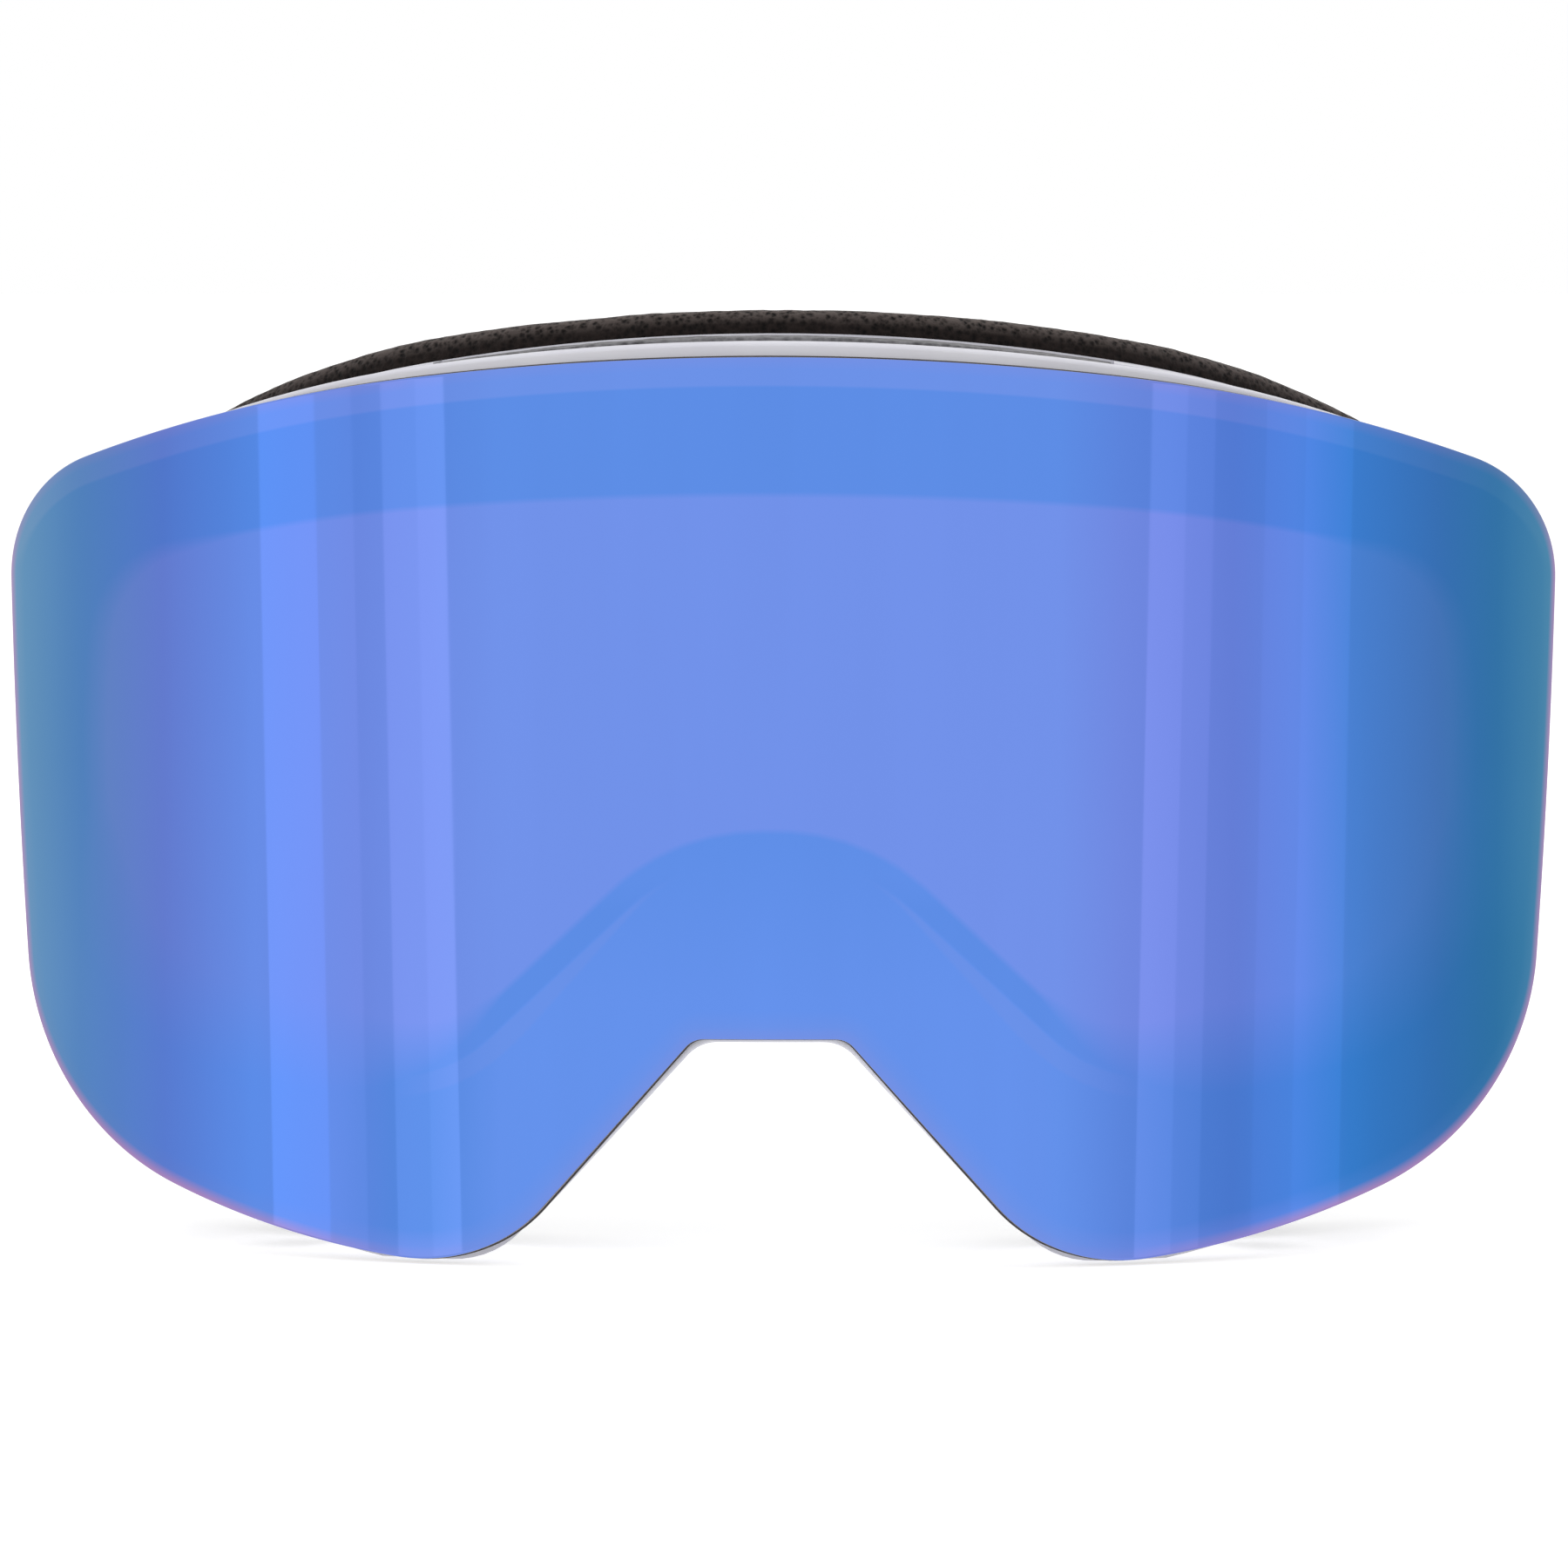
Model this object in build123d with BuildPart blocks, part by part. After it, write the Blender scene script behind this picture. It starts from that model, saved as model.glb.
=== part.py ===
from build123d import *
from math import asin, cos, radians, sin, sqrt
import os

os.makedirs("parts", exist_ok=True)

# Ski goggles with a frameless cylindrical double lens that snaps onto the frame with magnets.
# The wearer looks along -Y, +Z is up and +X is the wearer's left. The origin lies on the surface
# that the goggles stand on, under the middle of the box around the goggles and their strap.
# "Depth" is the distance behind the foremost point of the lens, measured along +Y.
# Millimetres throughout.

# ---- driving dimensions ----------------------------------------------------------------------
LENS_RADIUS = 105.0          # bend of the outer lens, about an upright axis
LENS_THICK = 1.3
INNER_LENS_THICK = 0.8
GASKET_THICK = 3.4           # sealed air space between the two lenses
CARRIER_THICK = 2.2          # ring behind the outer lens that holds its magnets
SEAT_GAP = 0.3               # between the lens carrier and the frame's bezel
BEZEL_THICK = 3.0
RIM_WIDTH = 8.0              # of the carrier and of the bezel, seen from the front
OPENING_CLEARANCE = 0.6      # around the gasket in the bezel's opening
WALL = 2.2                   # thickness of the frame's outer wall
FACE_RADIUS = 95.0           # bend of the flange and of the foam that follows the face
FLANGE_DEPTH = 24.0          # from the front of the lens to the flange, in the middle
FLANGE_THICK = 2.0
BASE_FOAM = 7.0
COMFORT_FOAM = 7.0
FLEECE = 2.0
FOAM_WIDTH = 10.0
MAGNET_RADIUS = 3.0
MAGNET_THICK = 2.0
PIN_RADIUS = 1.5             # locating pins on the lens carrier
PIN_CLEARANCE = 0.15
STRAP_WIDTH = 40.0
STRAP_THICK = 1.5
STRAP_ANGLE = 3.0            # degrees that the strap turns in, behind the outriggers
STRAP_STRAIGHT = 62.0
STRAP_TAIL = 58.0
STRAP_BEND = 60.0            # radius of the strap's side bend, to the middle of the webbing
SIDE_BEND_END = 60.0         # heading in degrees where the side bend becomes the back bend
BAR_RADIUS = 1.3             # outrigger bar that the strap is looped on
FOLD_CLEARANCE = 0.1
GRIP_THICK = 0.6             # silicone beads on the strap's inner face
PIVOT_DEPTH = 64.5
PIVOT_HEIGHT = 52.0
BUSHING_RADIUS = 2.5
BUSHING_CLEARANCE = 0.05
OUTRIGGER_THICK = 2.8
OUTRIGGER_INNER_X = 84.2
BAR_DEPTH = 96.0
ADJUSTER_AT = 33.0           # along the strap from the outrigger's bar
ADJUSTER_LENGTH = 14.0

# ---- sizes and places that follow from them --------------------------------------------------
FOLD_RADIUS = BAR_RADIUS + FOLD_CLEARANCE + STRAP_THICK / 2
BAR_X = OUTRIGGER_INNER_X + OUTRIGGER_THICK / 2
CARRIER_FRONT = LENS_RADIUS - LENS_THICK
CARRIER_BACK = CARRIER_FRONT - CARRIER_THICK
BEZEL_FRONT = CARRIER_BACK - SEAT_GAP
BEZEL_BACK = BEZEL_FRONT - BEZEL_THICK
CARRIER_MIDDLE = (CARRIER_FRONT + CARRIER_BACK) / 2
BEZEL_MIDDLE = (BEZEL_FRONT + BEZEL_BACK) / 2
GASKET_BACK = CARRIER_FRONT - GASKET_THICK
INNER_LENS_BACK = GASKET_BACK - INNER_LENS_THICK
GASKET_INSET = RIM_WIDTH + OPENING_CLEARANCE
GASKET_WIDTH = 4.0

# The strap's plan: a straight run, a side bend and one back bend centred on the middle plane.
# Its inner layer is measured from the bar; depths turn into row-frame Y once its back is known.
start_x = (
    BAR_X
    - FOLD_RADIUS * cos(radians(STRAP_ANGLE))
    - STRAP_STRAIGHT * sin(radians(STRAP_ANGLE))
)
start_depth = (
    BAR_DEPTH
    - FOLD_RADIUS * sin(radians(STRAP_ANGLE))
    + STRAP_STRAIGHT * cos(radians(STRAP_ANGLE))
)
side_centre_x = start_x - STRAP_BEND * cos(radians(STRAP_ANGLE))
side_centre_depth = start_depth - STRAP_BEND * sin(radians(STRAP_ANGLE))
BACK_BEND = STRAP_BEND + side_centre_x / cos(radians(SIDE_BEND_END))
back_centre_depth = side_centre_depth + (STRAP_BEND - BACK_BEND) * sin(radians(SIDE_BEND_END))
OVERALL_DEPTH = back_centre_depth + BACK_BEND + STRAP_THICK / 2
FRONT_Y = -OVERALL_DEPTH / 2
LENS_AXIS_Y = FRONT_Y + LENS_RADIUS


def at_depth(depth):
    """Row-frame Y of a point that far behind the foremost point of the lens."""
    return FRONT_Y + depth


# Sketches on this plane are the view from the front: x across, y up. Solids grow backwards.
FRONT_PLANE = Plane(origin=(0, FRONT_Y - 5, 0), x_dir=(1, 0, 0), z_dir=(0, -1, 0))
FRONT_RUN = -100.0
# Sketches on this plane are plans. Solids grow up from below the goggles to above them.
PLAN_PLANE = Plane.XY.offset(-5)
TALL = 120.0
# Ways to set a cylinder on the plane it is made on: growing out of it, or down into it.
OUT = (Align.CENTER, Align.CENTER, Align.MIN)
IN = (Align.CENTER, Align.CENTER, Align.MAX)

# ---- outlines seen from the front, right half, from the top middle to the nose -----------------
# Each is a chain of tangent arcs, then a straight flank up to the notch over the nose.
LENS_CHAIN = [
    (0, 101.2),
    (40, 98.8),
    (79, 89.4),
    (88.7, 75.1),
    (86.6, 32.1),
    (78.8, 14.5),
    (68.3, 7.4),
    (42, 0.7),
    (31, 2.5),
    (25.4, 6.7),
]
LENS_NOTCH, LENS_NOTCH_RADIUS = 25.7, 2.6
BEZEL_CHAIN = [
    (0, 102.9),
    (40, 99.9),
    (76.4, 89),
    (84.6, 75.1),
    (83.3, 34),
    (76, 16.5),
    (66.5, 9.3),
    (42, 1.1),
    (31, 2.65),
    (23.7, 7.8),
]
BEZEL_NOTCH, BEZEL_NOTCH_RADIUS = 25.1, 4.5
WALL_CHAIN = [
    (0, 103.5),
    (40, 100),
    (74.5, 88.4),
    (84.2, 72),
    (83.1, 36),
    (75.5, 17.6),
    (65.5, 8.6),
    (51, 1.57),
    (44, 0),
]
WALL_NOTCH, WALL_NOTCH_RADIUS = 26.6, 5.0
REST_FLAT = 8.0              # flat on each lower lobe of the frame that it stands on
REST_TURN = (9.0, 4.8)       # reach of the arc that follows the flat, inwards and up
FACE_CHAIN = [
    (0, 106.1),
    (38, 102.9),
    (66, 93.2),
    (79, 68),
    (75.8, 35),
    (66, 13),
    (52, 3),
    (40, 2.2),
    (31, 9),
]
FACE_NOTCH, FACE_NOTCH_RADIUS = 32.0, 8.0


def outline(chain, notch_height, notch_radius, flat=0.0, squeeze=1.0):
    """Adds the closed outline of a chain to the sketch, drawn in sideways by the squeeze.

    flat is a level stretch after its last arc.
    """
    chain = [(x * squeeze, z) for x, z in chain]
    with BuildLine() as half:
        heading = Vector(1, 0)
        for start, end in zip(chain, chain[1:]):
            arc = TangentArc(start, end, tangent=heading)
            heading = arc % 1
        last = Vector(*chain[-1])
        if flat:
            Line(last, last - (flat, 0))
            flat_end = last - (flat, 0)
            turn = TangentArc(flat_end, flat_end + (-REST_TURN[0], REST_TURN[1]), tangent=(-1, 0))
            heading = turn % 1
            last = turn @ 1
        notch_x = last.X + (notch_height - last.Y) * heading.X / heading.Y
        Polyline(last, (notch_x, notch_height), (0, notch_height))
        mirror(half.line, about=Plane.YZ)
    made = make_face(half.edges())
    at_notch = made.vertices().filter_by(lambda v: abs(v.Y - notch_height) < 0.01)
    fillet(at_notch.filter_by(lambda v: abs(abs(v.X) - notch_x) < 0.01), notch_radius)


def lens_outline(inset=0.0, radius=LENS_RADIUS, mode=Mode.ADD):
    """The lens's outline, moved in all round by inset, as seen on a smaller lens-shaped cylinder."""
    with BuildSketch(mode=Mode.PRIVATE) as whole:
        outline(LENS_CHAIN, LENS_NOTCH, LENS_NOTCH_RADIUS, squeeze=radius / LENS_RADIUS)
    add(offset(whole.sketch, -inset, mode=Mode.PRIVATE) if inset else whole.sketch, mode=mode)


def wall_outline(inset=0.0, mode=Mode.ADD):
    """The outline of the frame's wall, moved in all round by inset."""
    with BuildSketch(mode=Mode.PRIVATE) as whole:
        outline(WALL_CHAIN, WALL_NOTCH, WALL_NOTCH_RADIUS, REST_FLAT)
    add(offset(whole.sketch, -inset, mode=Mode.PRIVATE) if inset else whole.sketch, mode=mode)


def face_outline(inset=0.0, mode=Mode.ADD):
    """The outline of the foam that meets the face, moved in all round by inset."""
    with BuildSketch(mode=Mode.PRIVATE) as whole:
        outline(FACE_CHAIN, FACE_NOTCH, FACE_NOTCH_RADIUS)
    add(offset(whole.sketch, -inset, mode=Mode.PRIVATE) if inset else whole.sketch, mode=mode)


def between_lens_arcs(front_radius, back_radius):
    """Cuts the part down to a sheet that bends with the lens, from one radius to the other."""
    with BuildSketch(PLAN_PLANE) as plan:
        with Locations((0, LENS_AXIS_Y)):
            Circle(front_radius)
            Circle(back_radius, mode=Mode.SUBTRACT)
    extrude(plan.sketch, amount=TALL, mode=Mode.INTERSECT)


def between_face_arcs(front_depth, back_depth):
    """Cuts the part down to a layer that bends with the face, from one depth to the other."""
    with BuildSketch(PLAN_PLANE) as plan:
        with Locations((0, at_depth(front_depth) + FACE_RADIUS)):
            Circle(FACE_RADIUS)
        with Locations((0, at_depth(back_depth) + FACE_RADIUS)):
            Circle(FACE_RADIUS, mode=Mode.SUBTRACT)
    extrude(plan.sketch, amount=TALL, mode=Mode.INTERSECT)


# The frame's sides draw in evenly towards the face: half its width at two depths.
SIDE_NEAR, SIDE_NEAR_DEPTH = 112.6, 0.0
SIDE_FAR, SIDE_FAR_DEPTH = 67.6, 90.0


def behind_bezel(back_depth, side_inset=0.0, front_radius=BEZEL_BACK):
    """Cuts the part down to the frame: behind the bezel, before the face arc, sides drawn in."""
    near, far = SIDE_NEAR - side_inset, SIDE_FAR - side_inset
    with BuildSketch(PLAN_PLANE) as plan:
        with BuildLine():
            Polyline(
                (-near, at_depth(SIDE_NEAR_DEPTH)),
                (near, at_depth(SIDE_NEAR_DEPTH)),
                (far, at_depth(SIDE_FAR_DEPTH)),
                (-far, at_depth(SIDE_FAR_DEPTH)),
                close=True,
            )
        make_face()
        with Locations((0, LENS_AXIS_Y)):
            Circle(front_radius, mode=Mode.INTERSECT)
        with Locations((0, at_depth(back_depth) + FACE_RADIUS)):
            Circle(FACE_RADIUS, mode=Mode.SUBTRACT)
    extrude(plan.sketch, amount=TALL, mode=Mode.INTERSECT)


def on_lens_arc(x, height, radius):
    """Plane that touches the lens-shaped cylinder of that radius, its normal pointing out of it."""
    turn = asin(x / radius)
    return Plane(
        origin=(x, LENS_AXIS_Y - radius * cos(turn), height),
        x_dir=(cos(turn), sin(turn), 0),
        z_dir=(sin(turn), -cos(turn), 0),
    )


# Right-hand places on the rim, seen from the front; each also has a mirror image.
MAGNET_SPOTS = [(22.0, 96.0), (61.0, 90.4), (82.2, 52.0), (56.0, 8.2)]
LOCATING_SPOTS = [(42.0, 94.0), (75.5, 19.5)]
mirrored_magnets = [(side * x, z) for x, z in MAGNET_SPOTS for side in (1, -1)]
mirrored_locators = [(side * x, z) for x, z in LOCATING_SPOTS for side in (1, -1)]


def straight_back(x, height, radius, ahead=0.0):
    """Plane that faces straight back, its middle on that cylinder or that far ahead of it."""
    return Plane(origin=(x, on_lens_arc(x, height, radius).origin.Y - ahead, height), z_dir=(0, 1, 0))


def save(part, name):
    """Labels a finished piece and writes it as one STEP file."""
    part.label = name
    export_step(part, f"parts/{name}.step")


def save_pair(part, name):
    """Writes a piece of the +X side as NAME_left and its mirror image as NAME_right."""
    other = mirror(part, about=Plane.YZ, mode=Mode.PRIVATE)
    save(part, f"{name}_left")
    save(other, f"{name}_right")


# ---- lens assembly ---------------------------------------------------------------------------
HOLE_RUN = 16.0              # long enough to cut through a piece from its middle

with BuildPart() as outer_lens:
    with BuildSketch(FRONT_PLANE):
        lens_outline()
    extrude(amount=FRONT_RUN)
    between_lens_arcs(LENS_RADIUS, CARRIER_FRONT)
save(outer_lens.part, "outer_lens")

with BuildPart() as lens_carrier:
    with BuildSketch(FRONT_PLANE):
        lens_outline(0.3, CARRIER_MIDDLE)
        lens_outline(RIM_WIDTH, CARRIER_MIDDLE, mode=Mode.SUBTRACT)
    extrude(amount=FRONT_RUN)
    between_lens_arcs(CARRIER_FRONT, CARRIER_BACK)
    for x, z in mirrored_magnets:
        with Locations(on_lens_arc(x, z, CARRIER_BACK)):
            Cylinder(MAGNET_RADIUS, MAGNET_THICK, align=OUT, mode=Mode.SUBTRACT)
            Cylinder(MAGNET_RADIUS, MAGNET_THICK, align=IN, mode=Mode.SUBTRACT)
    for x, z in mirrored_locators:
        with Locations(straight_back(x, z, CARRIER_FRONT)):
            Cylinder(PIN_RADIUS, HOLE_RUN, mode=Mode.SUBTRACT)
save(lens_carrier.part, "lens_carrier")

with BuildPart() as lens_magnets:
    for x, z in mirrored_magnets:
        with Locations(on_lens_arc(x, z, CARRIER_BACK)):
            Cylinder(MAGNET_RADIUS, MAGNET_THICK, align=OUT)
    between_lens_arcs(CARRIER_FRONT, CARRIER_BACK)
save(lens_magnets.part, "lens_magnets")

PIN_REACH = 5.0              # from the back of the outer lens to the tip of a locating pin
PIN_START = 2.0              # the pins are made longer than that and cut to the lens's bend
with BuildPart() as lens_locating_pins:
    for x, z in mirrored_locators:
        with Locations(straight_back(x, z, CARRIER_FRONT, ahead=PIN_START)):
            Cylinder(PIN_RADIUS, PIN_REACH + PIN_START, align=OUT)
    with BuildSketch(PLAN_PLANE):
        with Locations((0, LENS_AXIS_Y)):
            Circle(CARRIER_FRONT)
    extrude(amount=TALL, mode=Mode.INTERSECT)
save(lens_locating_pins.part, "lens_locating_pins")

with BuildPart() as lens_gasket:
    with BuildSketch(FRONT_PLANE):
        lens_outline(GASKET_INSET, BEZEL_MIDDLE)
        lens_outline(GASKET_INSET + GASKET_WIDTH, BEZEL_MIDDLE, mode=Mode.SUBTRACT)
    extrude(amount=FRONT_RUN)
    between_lens_arcs(CARRIER_FRONT, GASKET_BACK)
save(lens_gasket.part, "lens_gasket")

with BuildPart() as inner_lens:
    with BuildSketch(FRONT_PLANE):
        lens_outline(GASKET_INSET, BEZEL_MIDDLE)
    extrude(amount=FRONT_RUN)
    between_lens_arcs(GASKET_BACK, INNER_LENS_BACK)
save(inner_lens.part, "inner_lens")

# ---- frame -----------------------------------------------------------------------------------
VENT_PITCH = 15.0
TOP_VENTS = [n * VENT_PITCH for n in range(-2, 3)]
LOWER_VENTS = [55.0, 65.0]
LOWER_VENT_WIDTH = 6.5
VENT_LENGTH = 9.0            # front to back
VENT_BAR = 3.0               # material left between the top vents
VENT_CORNER = 2.0
ROOF_FROM = 84.0             # cuts that start here go through the roof only
FLOOR_FROM, FLOOR_TO = -5.0, 16.0
CHANNEL_HALF = 38.0          # half the width of the channel over the top vents
CHANNEL_DEPTH = 1.2
CHANNEL_LIP = 1.2            # wall left between the channel and the flange
CHANNEL_CLEARANCE = 0.1      # round the foam in the channel
TOP_FOAM_SUNK = 0.2          # how far the foam lies below the roof
BEZEL_ROUND = 0.5
FLANGE_ROUND = 0.8
SIDE_WALL = 2.42             # sideways thickness of the walls that draw in
CUT_OVER = 1.0               # how far cuts go past the faces that they open


def vent_plane(x, height):
    """Level plane in the middle of the frame's roof or floor at that x, turned with the lens."""
    bezel_depth = LENS_RADIUS - sqrt(BEZEL_BACK**2 - x**2)
    flange_depth = FLANGE_DEPTH + FACE_RADIUS - sqrt(FACE_RADIUS**2 - x**2)
    turn = asin(x / LENS_RADIUS)
    return Plane(
        origin=(x, at_depth((bezel_depth + flange_depth) / 2), height),
        x_dir=(cos(turn), sin(turn), 0),
        z_dir=(0, 0, 1),
    )


def wall_strip(from_inset, to_inset, front_margin, back_margin):
    """A strip round the frame between two insets of its wall, short of the bezel and the flange."""
    with BuildSketch(FRONT_PLANE) as strip:
        wall_outline(from_inset)
        wall_outline(to_inset, mode=Mode.SUBTRACT)
    extrude(strip.sketch, amount=FRONT_RUN)
    behind_bezel(FLANGE_DEPTH - back_margin, front_radius=BEZEL_BACK - front_margin)


def over_top_vents(from_inset, to_inset, clearance=0.0):
    """The part of such a strip that lies over the top vents, open to the bezel's back in front."""
    wall_strip(from_inset, to_inset, clearance, CHANNEL_LIP + clearance)
    with Locations((0, 0, ROOF_FROM)):
        Box(2 * (CHANNEL_HALF - clearance), 2 * TALL, TALL, align=OUT, mode=Mode.INTERSECT)


def front_face(part, behind=False):
    """The foremost of a part's two biggest bent faces, or the other one."""
    bent = part.faces().filter_by(GeomType.CYLINDER).sort_by(SortBy.AREA)[-2:]
    return bent.sort_by(Axis.Y)[-1 if behind else 0]


with BuildPart() as bezel:
    with BuildSketch(FRONT_PLANE):
        outline(BEZEL_CHAIN, BEZEL_NOTCH, BEZEL_NOTCH_RADIUS)
        lens_outline(RIM_WIDTH, BEZEL_MIDDLE, mode=Mode.SUBTRACT)
    extrude(amount=FRONT_RUN)
    between_lens_arcs(BEZEL_FRONT, BEZEL_BACK)
    fillet(front_face(bezel).outer_wire().edges(), BEZEL_ROUND)

with BuildPart() as wall_outside:
    with BuildSketch(FRONT_PLANE):
        wall_outline()
    extrude(amount=FRONT_RUN)
    behind_bezel(FLANGE_DEPTH + FLANGE_THICK)
    fillet(front_face(wall_outside, behind=True).outer_wire().edges(), FLANGE_ROUND)

with BuildPart() as wall_inside:
    with BuildSketch(FRONT_PLANE):
        wall_outline(WALL)
    extrude(amount=FRONT_RUN)
    behind_bezel(FLANGE_DEPTH, side_inset=SIDE_WALL, front_radius=BEZEL_BACK + CUT_OVER)

with BuildPart() as face_hole:
    with BuildSketch(FRONT_PLANE):
        face_outline(FOAM_WIDTH)
    extrude(amount=FRONT_RUN)
    behind_bezel(FLANGE_DEPTH + FLANGE_THICK + CUT_OVER)

with BuildPart() as channel:
    over_top_vents(-CUT_OVER, CHANNEL_DEPTH)

BOSS_RADIUS = 7.0
BOSS_OUTER_X = 83.6
BOSS_INNER_X = 79.0
SCREW_RADIUS = 1.5
SCREW_SEAT_X = 79.3          # blind end of the screw's hole
# Sketches on this plane are the view from the wearer's left: x backwards and y up, from the pivot.
HUB_PLANE = Plane(origin=(0, at_depth(PIVOT_DEPTH), PIVOT_HEIGHT), x_dir=(0, 1, 0), z_dir=(1, 0, 0))


def on_pivot(side, x):
    """Plane square to the pivot's axis at that distance from the middle, facing outwards."""
    return Plane(origin=(side * x, at_depth(PIVOT_DEPTH), PIVOT_HEIGHT), z_dir=(side, 0, 0))


with BuildPart() as frame_shell:
    add(wall_outside.part)
    add(wall_inside.part, mode=Mode.SUBTRACT)
    add(face_hole.part, mode=Mode.SUBTRACT)
    add(bezel.part)
    add(channel.part, mode=Mode.SUBTRACT)
    for x in TOP_VENTS:
        with BuildSketch(vent_plane(x, ROOF_FROM)):
            RectangleRounded(VENT_PITCH - VENT_BAR, VENT_LENGTH, VENT_CORNER)
        extrude(amount=TALL, mode=Mode.SUBTRACT)
    for x in LOWER_VENTS + [-x for x in LOWER_VENTS]:
        with BuildSketch(vent_plane(x, FLOOR_FROM)):
            RectangleRounded(LOWER_VENT_WIDTH, VENT_LENGTH, VENT_CORNER)
        extrude(amount=FLOOR_TO - FLOOR_FROM, mode=Mode.SUBTRACT)
    for side in (1, -1):
        with Locations(on_pivot(side, BOSS_INNER_X)):
            Cylinder(BOSS_RADIUS, BOSS_OUTER_X - BOSS_INNER_X, align=OUT)
        with Locations(on_pivot(side, SCREW_SEAT_X)):
            Cylinder(SCREW_RADIUS, HOLE_RUN, align=OUT, mode=Mode.SUBTRACT)
    for x, z in mirrored_magnets:
        with Locations(on_lens_arc(x, z, BEZEL_FRONT)):
            Cylinder(MAGNET_RADIUS, MAGNET_THICK * 2, mode=Mode.SUBTRACT)
    for x, z in mirrored_locators:
        with Locations(straight_back(x, z, BEZEL_FRONT)):
            Cylinder(PIN_RADIUS + PIN_CLEARANCE, HOLE_RUN, mode=Mode.SUBTRACT)
save(frame_shell.part, "frame_shell")

with BuildPart() as frame_magnets:
    for x, z in mirrored_magnets:
        with Locations(on_lens_arc(x, z, BEZEL_FRONT)):
            Cylinder(MAGNET_RADIUS, MAGNET_THICK * 2)
    with BuildSketch(PLAN_PLANE):
        with Locations((0, LENS_AXIS_Y)):
            Circle(BEZEL_FRONT)
    extrude(amount=TALL, mode=Mode.INTERSECT)
save(frame_magnets.part, "frame_magnets")

# ---- vent foam: a strip in the channel on top, pads inside the wall over the lower vents ---------
VENT_FOAM_THICK = 2.5
VENT_FOAM_MARGIN = 1.0
LOWER_FOAM_FROM, LOWER_FOAM_TO = 49.0, 71.0

with BuildPart() as top_vent_foam:
    over_top_vents(TOP_FOAM_SUNK, CHANNEL_DEPTH, CHANNEL_CLEARANCE)
save(top_vent_foam.part, "top_vent_foam")

with BuildPart() as lower_vent_foam:
    wall_strip(WALL, WALL + VENT_FOAM_THICK, VENT_FOAM_MARGIN, VENT_FOAM_MARGIN)
    with Locations(((LOWER_FOAM_FROM + LOWER_FOAM_TO) / 2, 0, FLOOR_FROM)):
        Box(
            LOWER_FOAM_TO - LOWER_FOAM_FROM,
            2 * TALL,
            FLOOR_TO - FLOOR_FROM,
            align=OUT,
            mode=Mode.INTERSECT,
        )
save_pair(lower_vent_foam.part, "lower_vent_foam")

# ---- three layers of face foam -----------------------------------------------------------------
LAYER_STEP = 0.7             # each layer is a little smaller all round than the one before


def foam_layer(front_depth, thickness, inset):
    """A ring of foam that follows the face, glued on the one before it."""
    with BuildSketch(FRONT_PLANE) as ring:
        face_outline(inset)
        face_outline(FOAM_WIDTH - inset, mode=Mode.SUBTRACT)
    extrude(ring.sketch, amount=FRONT_RUN)
    between_face_arcs(front_depth, front_depth + thickness)


base_depth = FLANGE_DEPTH + FLANGE_THICK
comfort_depth = base_depth + BASE_FOAM
fleece_depth = comfort_depth + COMFORT_FOAM

with BuildPart() as face_foam_base:
    foam_layer(base_depth, BASE_FOAM, 0)
save(face_foam_base.part, "face_foam_base")

with BuildPart() as face_foam_comfort:
    foam_layer(comfort_depth, COMFORT_FOAM, LAYER_STEP)
save(face_foam_comfort.part, "face_foam_comfort")

with BuildPart() as face_fleece:
    foam_layer(fleece_depth, FLEECE, 2 * LAYER_STEP)
save(face_fleece.part, "face_fleece")

# ---- outriggers and their pivots -----------------------------------------------------------------
HUB_RADIUS = 7.5
STRAP_CLEARANCE = 1.2        # in height, in the outrigger's slot
SLOT_HEIGHT = STRAP_WIDTH + STRAP_CLEARANCE
FRAME_HEIGHT = STRAP_WIDTH + 7.0
SLOT_FRONT = 89.5            # depth where the strap's slot starts; it is open as far as the bar
SLOT_BACK = BAR_DEPTH + 2.0
FRAME_FRONT, FRAME_BACK = 85.75, 94.95
FRAME_CORNER = 3.0
LIGHTENING = (12.5, 13.0, 7.0)   # slot in the arm: behind the pivot, height, width
OUTRIGGER_ROUND = 0.7
LUG_LENGTH = 8.0             # front to back, of the lugs that carry the bar
BAR_OVERLAP = 2.0            # of the bar with both lugs together
WASHER_RADIUS = 6.0
CAP_RADIUS = 4.6
CAP_THICK = 1.2
COUNTERBORE_DEPTH = 1.0      # the screw's cap sits in the outer face of the outrigger
COUNTERBORE_RADIUS = 5.0
WASHER_GAP = 0.1             # between the friction washer and the outrigger
BUSHING_PROUD = 0.1          # how far the bushing stands out of the counterbore's floor
BUSHING_END = OUTRIGGER_INNER_X + OUTRIGGER_THICK - COUNTERBORE_DEPTH + BUSHING_PROUD
SHANK_OVERLAP = 0.2          # of the screw's shank with its cap
CAP_ROUND = 0.5
HEX_RADIUS, HEX_DEPTH = 1.4, 0.8

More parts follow.
